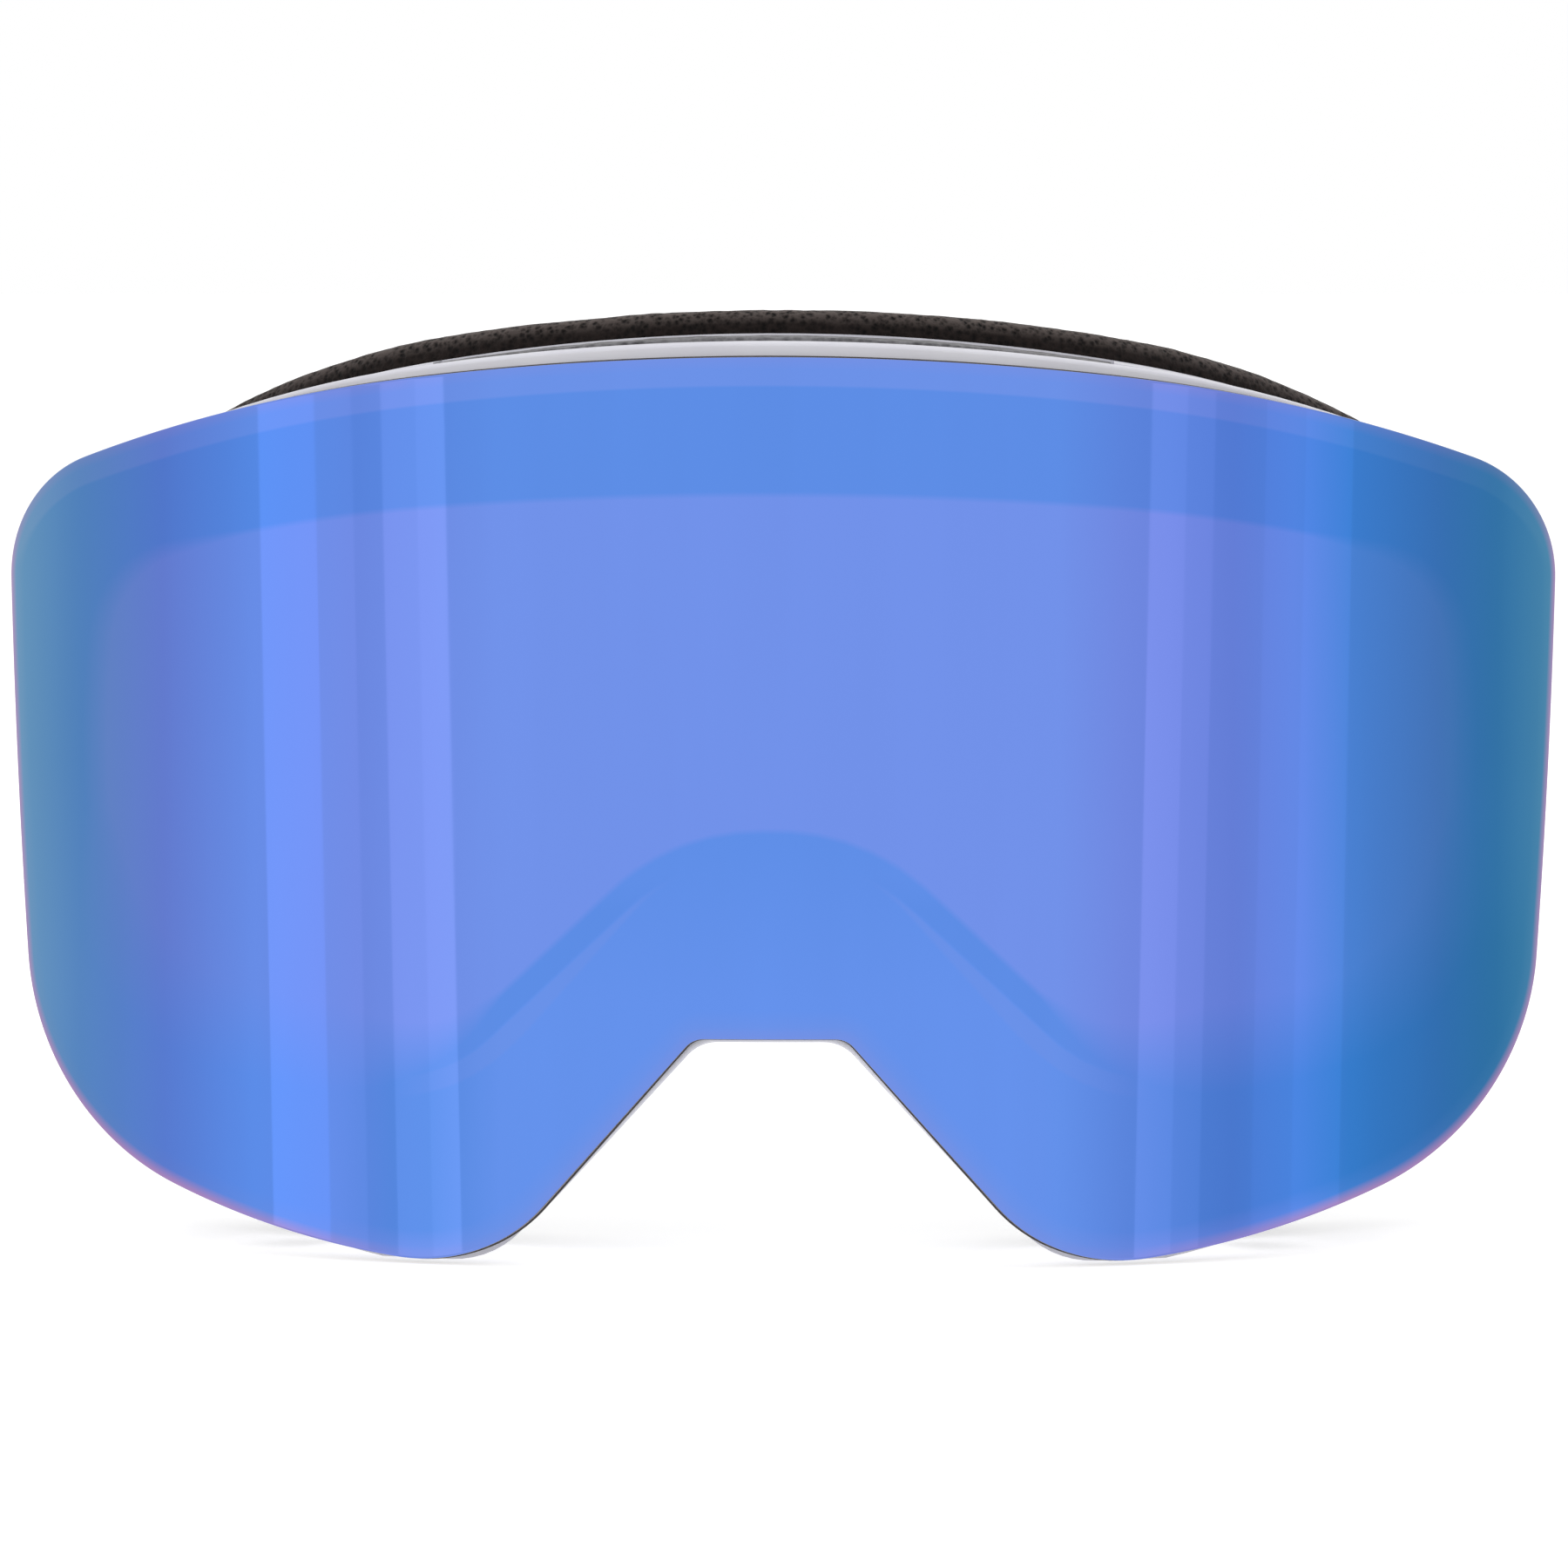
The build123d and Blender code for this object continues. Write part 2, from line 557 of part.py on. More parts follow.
with BuildPart() as outrigger:
    with BuildSketch(HUB_PLANE.offset(OUTRIGGER_INNER_X)) as plate:
        Circle(HUB_RADIUS)
        with Locations(((FRAME_FRONT + FRAME_BACK) / 2 - PIVOT_DEPTH, 0)):
            RectangleRounded(FRAME_BACK - FRAME_FRONT, FRAME_HEIGHT, FRAME_CORNER)
        make_hull()
        Circle(BUSHING_RADIUS + BUSHING_CLEARANCE, mode=Mode.SUBTRACT)
        with Locations(((SLOT_FRONT + SLOT_BACK) / 2 - PIVOT_DEPTH, 0)):
            Rectangle(SLOT_BACK - SLOT_FRONT, SLOT_HEIGHT, mode=Mode.SUBTRACT)
        with Locations((LIGHTENING[0], 0)):
            SlotOverall(LIGHTENING[1], LIGHTENING[2], rotation=90, mode=Mode.SUBTRACT)
    extrude(amount=OUTRIGGER_THICK)
    fillet(outrigger.faces().sort_by(Axis.X)[-1].outer_wire().edges(), OUTRIGGER_ROUND)
    with BuildSketch(HUB_PLANE.offset(OUTRIGGER_INNER_X + OUTRIGGER_THICK)):
        Circle(COUNTERBORE_RADIUS)
    extrude(amount=-COUNTERBORE_DEPTH, mode=Mode.SUBTRACT)
    for end in (1, -1):
        lug_height = PIVOT_HEIGHT + end * (SLOT_HEIGHT + FRAME_HEIGHT) / 4
        with Locations((BAR_X, at_depth(BAR_DEPTH), lug_height)):
            Box(OUTRIGGER_THICK, LUG_LENGTH, (FRAME_HEIGHT - SLOT_HEIGHT) / 2)
    with Locations((BAR_X, at_depth(BAR_DEPTH), PIVOT_HEIGHT)):
        Cylinder(BAR_RADIUS, SLOT_HEIGHT + BAR_OVERLAP)
save_pair(outrigger.part, "outrigger")

with BuildPart() as pivot_bushing:
    with BuildSketch(HUB_PLANE.offset(BOSS_OUTER_X)):
        Circle(BUSHING_RADIUS)
        Circle(SCREW_RADIUS, mode=Mode.SUBTRACT)
    extrude(amount=BUSHING_END - BOSS_OUTER_X)
save_pair(pivot_bushing.part, "pivot_bushing")

with BuildPart() as friction_washer:
    with BuildSketch(HUB_PLANE.offset(BOSS_OUTER_X)):
        Circle(WASHER_RADIUS)
        Circle(BUSHING_RADIUS, mode=Mode.SUBTRACT)
    extrude(amount=OUTRIGGER_INNER_X - BOSS_OUTER_X - WASHER_GAP)
save_pair(friction_washer.part, "friction_washer")

with BuildPart() as pivot_screw:
    with BuildSketch(HUB_PLANE.offset(SCREW_SEAT_X)):
        Circle(SCREW_RADIUS)
    extrude(amount=BUSHING_END - SCREW_SEAT_X + SHANK_OVERLAP)
    with BuildSketch(HUB_PLANE.offset(BUSHING_END)):
        Circle(CAP_RADIUS)
    extrude(amount=CAP_THICK)
    fillet(pivot_screw.edges().filter_by(GeomType.CIRCLE).sort_by(Axis.X)[-1], CAP_ROUND)
    with BuildSketch(HUB_PLANE.offset(BUSHING_END + CAP_THICK)):
        RegularPolygon(HEX_RADIUS, 6)
    extrude(amount=-HEX_DEPTH, mode=Mode.SUBTRACT)
save_pair(pivot_screw.part, "pivot_screw")

# ---- strap ---------------------------------------------------------------------------------------
strap_heading = radians(STRAP_ANGLE)
along = Vector(-sin(strap_heading), cos(strap_heading))
outward = Vector(cos(strap_heading), sin(strap_heading))
bar = Vector(BAR_X, at_depth(BAR_DEPTH))
side_centre = Vector(side_centre_x, at_depth(side_centre_depth))
back_centre = Vector(0, at_depth(back_centre_depth))
STRAP_BASE = Plane.XY.offset(PIVOT_HEIGHT - STRAP_WIDTH / 2)


def straight_run(run_from, run_to, near, far):
    """A flat layer of the strap beside the bar: runs are along the strap, near and far outward."""
    with BuildLine() as edge:
        Polyline(
            bar + along * run_from + outward * near,
            bar + along * run_to + outward * near,
            bar + along * run_to + outward * far,
            bar + along * run_from + outward * far,
            close=True,
        )
    make_face(edge.edges())


def bend(centre, radius, first, last, inner, outer):
    """A curved layer of the strap between two headings, inner and outer from its middle."""
    with BuildLine() as edge:
        near = CenterArc(centre, radius + inner, first, last - first)
        far = CenterArc(centre, radius + outer, first, last - first)
        Line(near @ 0, far @ 0)
        Line(near @ 1, far @ 1)
    make_face(edge.edges())


def back_bends(inner, outer, first=STRAP_ANGLE):
    """The bent part of the strap on the +X side, from a heading to the middle plane."""
    bend(side_centre, STRAP_BEND, first, SIDE_BEND_END, inner, outer)
    bend(back_centre, BACK_BEND, SIDE_BEND_END, 90, inner, outer)


half = STRAP_THICK / 2
with BuildPart() as strap_band:
    with BuildSketch(STRAP_BASE):
        straight_run(0, STRAP_STRAIGHT, -FOLD_RADIUS - half, -FOLD_RADIUS + half)
        straight_run(0, STRAP_TAIL, FOLD_RADIUS - half, FOLD_RADIUS + half)
        bend(bar, FOLD_RADIUS, STRAP_ANGLE - 180, STRAP_ANGLE, -half, half)
        back_bends(-half, half)
        mirror(about=Plane.YZ)
    extrude(amount=STRAP_WIDTH)
save(strap_band.part, "strap_band")

GRIP_ROWS = [-12.0, 0.0, 12.0]
GRIP_WIDTH = 2.4
GRIP_START = 20.0            # heading in degrees where the beads start
with BuildPart() as silicone_grip:
    for row in GRIP_ROWS:
        with BuildSketch(Plane.XY.offset(PIVOT_HEIGHT + row - GRIP_WIDTH / 2)):
            back_bends(-half - GRIP_THICK, -half, first=GRIP_START)
            mirror(about=Plane.YZ)
        extrude(amount=GRIP_WIDTH)
save(silicone_grip.part, "silicone_grip")

# ---- strap adjusters, which slide on the strap's two layers ------------------------------------------
ADJUSTER_HEIGHT = 46.5
WINDOW_HEIGHT = STRAP_WIDTH + 0.8
END_WALL = (ADJUSTER_HEIGHT - WINDOW_HEIGHT) / 2
END_WALL_LENGTH = ADJUSTER_LENGTH - 4.0
MIDDLE_BAR_WIDTH = 4.0
BAR_HALF = 0.85              # half the thickness of the middle bar, between the two layers
OUTER_NEAR = FOLD_RADIUS + half + 0.35
OUTER_FAR = OUTER_NEAR + 1.5
SIDE_BAR = 3.0
ADJUSTER_CORNER = 2.5
ADJUSTER_ROUND = 0.5
adjuster_middle = bar + along * ADJUSTER_AT
ADJUSTER_PLANE = Plane(
    origin=(adjuster_middle.X, adjuster_middle.Y, PIVOT_HEIGHT),
    x_dir=(along.X, along.Y, 0),
    z_dir=(outward.X, outward.Y, 0),
)

with BuildPart() as strap_adjuster:
    with BuildSketch(ADJUSTER_PLANE.offset(OUTER_NEAR)):
        RectangleRounded(ADJUSTER_LENGTH, ADJUSTER_HEIGHT, ADJUSTER_CORNER)
        Rectangle(ADJUSTER_LENGTH - 2 * SIDE_BAR, WINDOW_HEIGHT, mode=Mode.SUBTRACT)
    extrude(amount=OUTER_FAR - OUTER_NEAR)
    fillet(strap_adjuster.faces().sort_by(Axis.X)[-1].outer_wire().edges(), ADJUSTER_ROUND)
    with BuildSketch(ADJUSTER_PLANE.offset(-BAR_HALF)):
        for end in (1, -1):
            with Locations((0, end * (ADJUSTER_HEIGHT - END_WALL) / 2)):
                Rectangle(END_WALL_LENGTH, END_WALL)
    extrude(amount=OUTER_NEAR + BAR_HALF)
    with BuildSketch(ADJUSTER_PLANE.offset(-BAR_HALF)):
        Rectangle(MIDDLE_BAR_WIDTH, WINDOW_HEIGHT + END_WALL)
    extrude(amount=2 * BAR_HALF)
save_pair(strap_adjuster.part, "strap_adjuster")
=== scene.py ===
import math

import bmesh
import bpy
import numpy as np
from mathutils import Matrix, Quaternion, Vector, geometry, noise


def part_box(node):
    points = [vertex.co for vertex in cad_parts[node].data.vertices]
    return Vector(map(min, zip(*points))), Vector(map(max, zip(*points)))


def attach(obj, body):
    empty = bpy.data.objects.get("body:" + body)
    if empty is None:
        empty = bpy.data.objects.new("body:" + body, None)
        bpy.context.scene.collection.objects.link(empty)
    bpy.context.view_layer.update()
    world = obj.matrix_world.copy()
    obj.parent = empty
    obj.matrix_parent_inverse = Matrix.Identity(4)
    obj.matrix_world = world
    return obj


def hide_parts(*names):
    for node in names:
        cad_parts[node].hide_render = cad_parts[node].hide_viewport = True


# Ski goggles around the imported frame. Lengths here are in millimetres and turn into metres when a
# mesh is made. Outlines are (x, z) as seen from the front; depth is measured back from the lens.
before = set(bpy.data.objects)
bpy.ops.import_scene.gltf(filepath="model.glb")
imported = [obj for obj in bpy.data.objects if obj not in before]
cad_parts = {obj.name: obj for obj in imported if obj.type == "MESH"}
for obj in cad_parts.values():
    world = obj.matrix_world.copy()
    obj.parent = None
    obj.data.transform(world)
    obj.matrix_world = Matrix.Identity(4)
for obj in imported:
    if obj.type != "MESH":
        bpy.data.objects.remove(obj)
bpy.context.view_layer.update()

MM = 0.001
FRONT_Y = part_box("outer_lens")[0].y / MM

# ---- dimensions repeated from the CAD --------------------
LENS_RADIUS = 105.0
CARRIER_FRONT = 103.7
CARRIER_BACK = 101.5
GASKET_BACK = 100.3
INNER_LENS_BACK = 99.5
BEZEL_BACK = 98.2
BEZEL_MIDDLE = 99.7
RIM_WIDTH = 8.0
GASKET_INSET = 8.6
GASKET_WIDTH = 4.0
WALL = 2.2
CHANNEL_HALF = 38.0
CHANNEL_DEPTH = 1.2
CHANNEL_LIP = 1.3
CHANNEL_CLEARANCE = 0.1
TOP_FOAM_SUNK = 0.2
LOWER_FOAM_FROM, LOWER_FOAM_TO = 49.0, 71.0
LOWER_FOAM_THICK = 2.5
LOWER_FOAM_MARGIN = 1.0
FACE_RADIUS = 95.0
FLANGE_DEPTH = 24.0
FOAM_WIDTH = 10.0
FOAM_FRONT = 26.0
BASE_FOAM = 7.0
COMFORT_FOAM = 7.0
FLEECE = 2.0
LAYER_STEP = 0.7
STRAP_WIDTH = 40.0
STRAP_THICK = 1.5
STRAP_ANGLE = math.radians(3.0)
STRAP_STRAIGHT = 62.0
STRAP_TAIL = 58.0
STRAP_BEND = 60.0
SIDE_BEND_END = math.radians(60.0)
FOLD_RADIUS = 2.15
BAR_X, BAR_DEPTH = 85.6, 96.0
PIVOT_HEIGHT = 52.0
GRIP_ROWS = (-12.0, 0.0, 12.0)
GRIP_WIDTH = 2.4
GRIP_THICK = 0.6

LENS_CHAIN = [
    (0, 101.2), (40, 98.8), (79, 89.4), (88.7, 75.1), (86.6, 32.1),
    (78.8, 14.5), (68.3, 7.4), (42, 0.7), (31, 2.5), (25.4, 6.7),
]
LENS_NOTCH, LENS_NOTCH_RADIUS = 25.7, 2.6
LENS_MIDDLE = 50.0
WALL_CHAIN = [
    (0, 103.5), (40, 100), (74.5, 88.4), (84.2, 72), (83.1, 36),
    (75.5, 17.6), (65.5, 8.6), (51, 1.57), (44, 0),
]
FACE_CHAIN = [
    (0, 106.1), (38, 102.9), (66, 93.2), (79, 68), (75.8, 35),
    (66, 13), (52, 3), (40, 2.2), (31, 9),
]
FACE_NOTCH, FACE_NOTCH_RADIUS = 32.0, 8.0
# The clearest part of the lens, inside the shade of the gasket and of the foam behind it.
WINDOW_CHAIN = [
    (0, 86), (38, 84.4), (68, 79.3), (77, 69), (76, 40),
    (63, 26.1), (43, 23.6), (33, 27.6),
]
WINDOW_NOTCH, WINDOW_NOTCH_RADIUS = 48.8, 24.0


# ---- outlines --------------------------------------------
def arc(start, heading, end, step):
    """Points after start on the arc that leaves it along heading to end, and its last heading."""
    chord = end - start
    length = math.hypot(*chord)
    turn = math.atan2(heading[0] * chord[1] - heading[1] * chord[0], float(heading @ chord))
    first = math.atan2(heading[1], heading[0])
    if abs(turn) < 1e-6:
        count = max(2, math.ceil(length / step))
        points = [start + chord * n / count for n in range(1, count + 1)]
        return points, heading
    radius = length / (2 * math.sin(turn))
    count = max(4, math.ceil(abs(2 * turn * radius) / min(step, abs(radius) / 8)))
    points = []
    for n in range(1, count + 1):
        angle = first + 2 * turn * n / count
        swing = np.array([math.sin(angle) - math.sin(first), math.cos(first) - math.cos(angle)])
        points.append(start + radius * swing)
    last = first + 2 * turn
    return points, np.array([math.cos(last), math.sin(last)])


def straight(start, end, step):
    """Points after start on the straight line to end."""
    count = max(1, math.ceil(math.dist(start, end) / step))
    return [start + (end - start) * n / count for n in range(1, count + 1)]


def chain_run(chain, step=0.8):
    """Points along a chain of tangent arcs that starts level at the top middle, and its last heading."""
    chain = [np.array(p, float) for p in chain]
    points = [chain[0]]
    heading = np.array([1.0, 0.0])
    for end in chain[1:]:
        more, heading = arc(points[-1], heading, end, step)
        points += more
    return points, heading


def outline(chain, notch, notch_radius, step=0.8):
    """A closed outline, clockwise from the top middle, with a rounded level notch over the nose."""
    points, heading = chain_run(chain, step)
    last = points[-1]
    corner = last + heading * (notch - last[1]) / heading[1]
    turn = math.acos(-heading[0])
    reach = notch_radius * math.tan(turn / 2)
    before = corner - heading * reach
    after = corner - np.array([reach, 0.0])
    points += straight(last, before, step)
    points += arc(before, heading, after, step)[0]
    points += straight(after, np.array([0.0, notch]), step)
    right = np.array(points)
    left = right[-2:0:-1] * (-1, 1)
    return np.concatenate([right, left])


def inward(loop):
    """Unit vectors that point into a clockwise outline, at each of its points."""
    along = np.roll(loop, -1, 0) - np.roll(loop, 1, 0)
    into = np.stack([along[:, 1], -along[:, 0]], 1)
    return into / np.linalg.norm(into, axis=1)[:, None]


def shifted(loop, inset):
    """The outline moved in by inset."""
    return loop + inward(loop) * inset


def distance_into(loop, points):
    """How far each point lies inside an outline; negative outside."""
    start, end = loop, np.roll(loop, -1, 0)
    nearest = np.full(len(points), np.inf)
    crossings = np.zeros(len(points), int)
    for a, b in zip(start, end):
        run = b - a
        share = np.clip(((points - a) @ run) / (run @ run), 0, 1)
        nearest = np.minimum(nearest, np.hypot(*(points - a - share[:, None] * run).T))
        if a[1] != b[1]:
            spans = (a[1] > points[:, 1]) != (b[1] > points[:, 1])
            at = a[0] + (points[:, 1] - a[1]) / (b[1] - a[1]) * run[0]
            crossings += spans & (points[:, 0] < at)
    return np.where(crossings % 2 == 1, nearest, -nearest)


# ---- places in space -------------------------------------
def on_lens(x, z, radius):
    """The point of a lens-shaped cylinder of that radius, straight behind x on the outer lens."""
    turn = np.arcsin(x / LENS_RADIUS)
    return np.stack([radius * np.sin(turn), FRONT_Y + LENS_RADIUS - radius * np.cos(turn), z], -1)


def on_face(x, z, depth):
    """The point of the face-shaped cylinder whose middle lies at that depth."""
    return np.stack([x, FRONT_Y + depth + FACE_RADIUS - np.sqrt(FACE_RADIUS**2 - x**2), z], -1)


# ---- meshes ----------------------------------------------
def new_object(name, points, faces):
    """A smooth-shaded mesh object from points in millimetres, with its faces turned outwards."""
    mesh = bpy.data.meshes.new(name)
    mesh.from_pydata([tuple(p) for p in np.asarray(points) * MM], [], faces)
    work = bmesh.new()
    work.from_mesh(mesh)
    bmesh.ops.recalc_face_normals(work, faces=work.faces)
    for face in work.faces:
        face.smooth = True
    work.to_mesh(mesh)
    work.free()
    piece = bpy.data.objects.new(name, mesh)
    bpy.context.scene.collection.objects.link(piece)
    return piece


def tube_faces(count, size, closed, start=0):
    """The faces of a tube of count sections of size points. An open tube gets a cap at both ends."""
    faces = []
    for n in range(count if closed else count - 1):
        a, b = start + n * size, start + (n + 1) % count * size
        for m in range(size):
            k = (m + 1) % size
            faces.append((a + m, a + k, b + k, b + m))
    if not closed:
        last = start + (count - 1) * size
        faces.append(tuple(range(start, start + size)))
        faces.append(tuple(range(last, last + size)))
    return faces


def skin(name, sections, closed):
    """A tube whose sections are an array of (section, point, 3)."""
    return new_object(name, sections.reshape(-1, 3), tube_faces(*sections.shape[:2], closed))


def pad_profile(width, thick, corner, crown, spacing):
    """A round-cornered cross-section centred on (0, 0), whose four sides pull in towards its corners."""
    points = []
    for turn in range(4):
        wide, tall = (width, thick) if turn % 2 == 0 else (thick, width)
        reach = wide / 2 - corner
        side = straight(np.array([-reach, tall / 2]), np.array([reach, tall / 2]), spacing)
        for n in range(1, 5):
            angle = n * math.pi / 8
            centre = np.array([reach, tall / 2 - corner])
            side.append(centre + corner * np.array([math.sin(angle), math.cos(angle)]))
        c, s = round(math.cos(turn * math.pi / 2)), round(math.sin(turn * math.pi / 2))
        points += [(c * x + s * y, c * y - s * x) for x, y in side]
    points = np.array(points)
    pull = crown * np.stack([(2 * points[:, 1] / thick) ** 2, (2 * points[:, 0] / width) ** 2], 1)
    return points * (1 - pull)


def ring(name, loop, profile, place):
    """A profile of (inset, layer) pairs swept round an outline and put in space by place."""
    into = inward(loop)
    flat = loop[:, None, :] + into[:, None, :] * profile[None, :, :1]
    layer = np.broadcast_to(profile[None, :, 1], flat.shape[:2])
    return skin(name, place(flat[..., 0], flat[..., 1], layer), closed=True)


def roughen(piece, depth, size, seed):
    """Moves each point along its normal by noise of that size, in millimetres."""
    offset = Vector((seed * 7.3, seed * 3.1, seed * 5.7))
    heights = [depth * MM * noise.noise(v.co / (size * MM) + offset) for v in piece.data.vertices]
    moves = [v.normal * height for v, height in zip(piece.data.vertices, heights)]
    for vertex, move in zip(piece.data.vertices, moves):
        vertex.co += move


# ---- materials -------------------------------------------
def set_range(made, low, high, to_low, to_high):
    """Sets which values a Map Range node takes and which it gives for them."""
    made.inputs["From Min"].default_value = low
    made.inputs["From Max"].default_value = high
    made.inputs["To Min"].default_value = to_low
    made.inputs["To Max"].default_value = to_high


class Look:
    """A material on the Principled shader, with short calls for the nodes that feed it.

    Values for more of the shader's sockets are given by their names, with _ for each space.
    """

    def __init__(self, name, colour, roughness, **sockets):
        self.material = bpy.data.materials.new(name)
        self.material.use_nodes = True
        self.nodes = self.material.node_tree.nodes
        self.links = self.material.node_tree.links
        self.shader = self.nodes["Principled BSDF"]
        self.place = self.node("ShaderNodeTexCoord").outputs["Object"]
        self.shader.inputs["Base Color"].default_value = (*colour, 1)
        self.shader.inputs["Roughness"].default_value = roughness
        self.height = None
        for socket, value in sockets.items():
            self.shader.inputs[socket.replace("_", " ")].default_value = value

    def node(self, kind, **settings):
        made = self.nodes.new(kind)
        for key, value in settings.items():
            setattr(made, key, value)
        return made

    def link(self, out, into):
        self.links.new(out, into)

    def noise(self, size, detail=2.0, stretch=None):
        """A noise pattern whose grains are about size millimetres across."""
        made = self.node("ShaderNodeTexNoise")
        made.inputs["Scale"].default_value = 1 / (size * MM)
        made.inputs["Detail"].default_value = detail
        if stretch:
            mapping = self.node("ShaderNodeMapping")
            mapping.inputs["Scale"].default_value = stretch
            self.link(self.place, mapping.inputs["Vector"])
            self.link(mapping.outputs["Vector"], made.inputs["Vector"])
        else:
            self.link(self.place, made.inputs["Vector"])
        return made.outputs["Fac"]

    def cells(self, size):
        """Rounded cells about size millimetres across: 0 in their middles."""
        made = self.node("ShaderNodeTexVoronoi")
        made.inputs["Scale"].default_value = 1 / (size * MM)
        self.link(self.place, made.inputs["Vector"])
        return made.outputs["Distance"]

    def spread(self, value, low, high, to_low=0.0, to_high=1.0):
        """Maps a value from one range to another, clamped."""
        made = self.node("ShaderNodeMapRange")
        set_range(made, low, high, to_low, to_high)
        self.link(value, made.inputs["Value"])
        return made.outputs["Result"]

    def sums(self, operation, a, b):
        """One step of arithmetic on two values; b may be a number."""
        made = self.node("ShaderNodeMath", operation=operation)
        self.link(a, made.inputs[0])
        if isinstance(b, (int, float)):
            made.inputs[1].default_value = b
        else:
            self.link(b, made.inputs[1])
        return made.outputs["Value"]

    def times(self, a, b):
        return self.sums("MULTIPLY", a, b)

    def parts(self, vector):
        """The X, Y and Z of a vector."""
        made = self.node("ShaderNodeSeparateXYZ")
        self.link(vector, made.inputs["Vector"])
        return made.outputs["X"], made.outputs["Y"], made.outputs["Z"]

    def mix(self, share, first, second):
        """A colour between two, each a colour or an output."""
        made = self.node("ShaderNodeMix", data_type="RGBA")
        self.link(share, made.inputs["Factor"])
        for socket, colour in ((made.inputs[6], first), (made.inputs[7], second)):
            if isinstance(colour, tuple):
                socket.default_value = (*colour, 1)
            else:
                self.link(colour, socket)
        return made.outputs[2]

    def ramp(self, value, stops):
        """A colour ramp from (position, colour) pairs."""
        made = self.node("ShaderNodeValToRGB")
        marks = made.color_ramp.elements
        while len(marks) < len(stops):
            marks.new(0.5)
        for mark, (position, colour) in zip(marks, stops):
            mark.position = position
            mark.color = (*colour, 1)
        self.link(value, made.inputs["Fac"])
        return made.outputs["Color"]

    def colour(self, out):
        self.link(out, self.shader.inputs["Base Color"])

    def roughness(self, value, low, high):
        self.link(self.spread(value, 0.3, 0.7, low, high), self.shader.inputs["Roughness"])

    def bump(self, value, depth, strength=1.0):
        """Adds relief of that depth in millimetres on top of what is there."""
        made = self.node("ShaderNodeBump")
        made.inputs["Distance"].default_value = depth * MM
        made.inputs["Strength"].default_value = strength
        self.link(value, made.inputs["Height"])
        if self.height:
            self.link(self.height, made.inputs["Normal"])
        self.height = made.outputs["Normal"]
        self.link(self.height, self.shader.inputs["Normal"])

    def geometry(self, fact):
        """A fact of the surface itself, such as its normal or how pointed it is."""
        return self.node("ShaderNodeNewGeometry").outputs[fact]

    def edges(self):
        """1 on convex edges and 0 elsewhere."""
        return self.spread(self.geometry("Pointiness"), 0.52, 0.60)

    def attribute(self, name):
        made = self.node("ShaderNodeAttribute", attribute_name=name)
        return made.outputs["Fac"]

    def clear(self, tint):
        """A see-through shader of that tint."""
        made = self.node("ShaderNodeBsdfTransparent")
        made.inputs["Color"].default_value = (*tint, 1)
        return made.outputs["BSDF"]

    def surface(self, share, first, second):
        """Ends the material with a blend of two shaders instead of its own alone."""
        made = self.node("ShaderNodeMixShader")
        self.link(share, made.inputs["Fac"])
        self.link(first, made.inputs[1])
        self.link(second, made.inputs[2])
        self.link(made.outputs["Shader"], self.nodes["Material Output"].inputs["Surface"])


def dress(piece, look):
    """Gives a piece one look in all its slots."""
    if not piece.data.materials:
        piece.data.materials.append(look.material)
    for slot in piece.material_slots:
        slot.material = look.material


def moulded(name, colour, light, roughness):
    """Grained moulded plastic, a little lighter where its edges are handled."""
    look = Look(name, colour, roughness)
    cloud = look.noise(9, 3)
    shade = look.mix(look.spread(cloud, 0.3, 0.7), colour, tuple(c * 1.25 + 0.004 for c in colour))
    look.colour(look.mix(look.times(look.edges(), 0.55), shade, light))
    look.roughness(look.noise(1.6, 4), roughness - 0.06, roughness + 0.08)
    look.bump(look.noise(0.32, 3), 0.025, 0.7)
    return look


def foam(name, dark, light, cell, depth, top_light_colour=None, sheen=0.12):
    """Open-cell foam: pores of that size, painted darker inside as shade, with a scattering of pale cell
    walls painted as highlights.

    Where a colour for the tops is given, the cell walls are painted lighter towards it on the sides that
    face up, as light from above.
    """
    look = Look(name, dark, 0.95, Sheen_Weight=sheen, Sheen_Roughness=0.6, Specular_IOR_Level=0.2)
    pores = look.cells(cell)
    fine = look.cells(cell * 0.45)
    walls = look.sums("ADD", look.times(fine, 0.4), pores)
    shade = look.mix(look.spread(walls, 0.35, 0.95), dark, light)
    cloud = look.spread(look.noise(5, 3), 0.35, 0.7, 0.0, 0.35)
    shade = look.mix(cloud, shade, tuple(c * 1.35 for c in light))
    # painted light from above: cell walls on the sides that face up are painted lighter
    if top_light_colour:
        facing_up = look.parts(look.geometry("Normal"))[2]
        painted_top_light = look.times(look.spread(facing_up, 0.1, 1.0), look.spread(walls, 0.35, 0.85))
        shade = look.mix(painted_top_light, shade, top_light_colour)
    look.colour(shade)
    look.bump(walls, depth)
    look.bump(look.noise(cell * 3, 3), depth * 0.8)
    return look


# The mirror's colour across the lens, from the wearer's right edge (0) to the left edge (1).
# Its blue carries painted reflection: teal at grazing angles near both edges, and darker and lighter
# bands of what the lens mirrors.
MIRROR_ACROSS = [
    (0.0, (0.150, 0.300, 0.490)),
    (0.05, (0.105, 0.224, 0.510)),
    (0.11, (0.120, 0.194, 0.620)),
    (0.17, (0.135, 0.262, 0.795)),
    (0.24, (0.150, 0.246, 0.755)),
    (0.33, (0.165, 0.287, 0.823)),
    (0.68, (0.168, 0.285, 0.823)),
    (0.72, (0.160, 0.246, 0.750)),
    (0.79, (0.126, 0.205, 0.675)),
    (0.83, (0.118, 0.236, 0.750)),
    (0.865, (0.066, 0.215, 0.640)),
    (0.92, (0.054, 0.168, 0.470)),
    (0.96, (0.034, 0.170, 0.390)),
    (1.0, (0.060, 0.230, 0.400)),
]
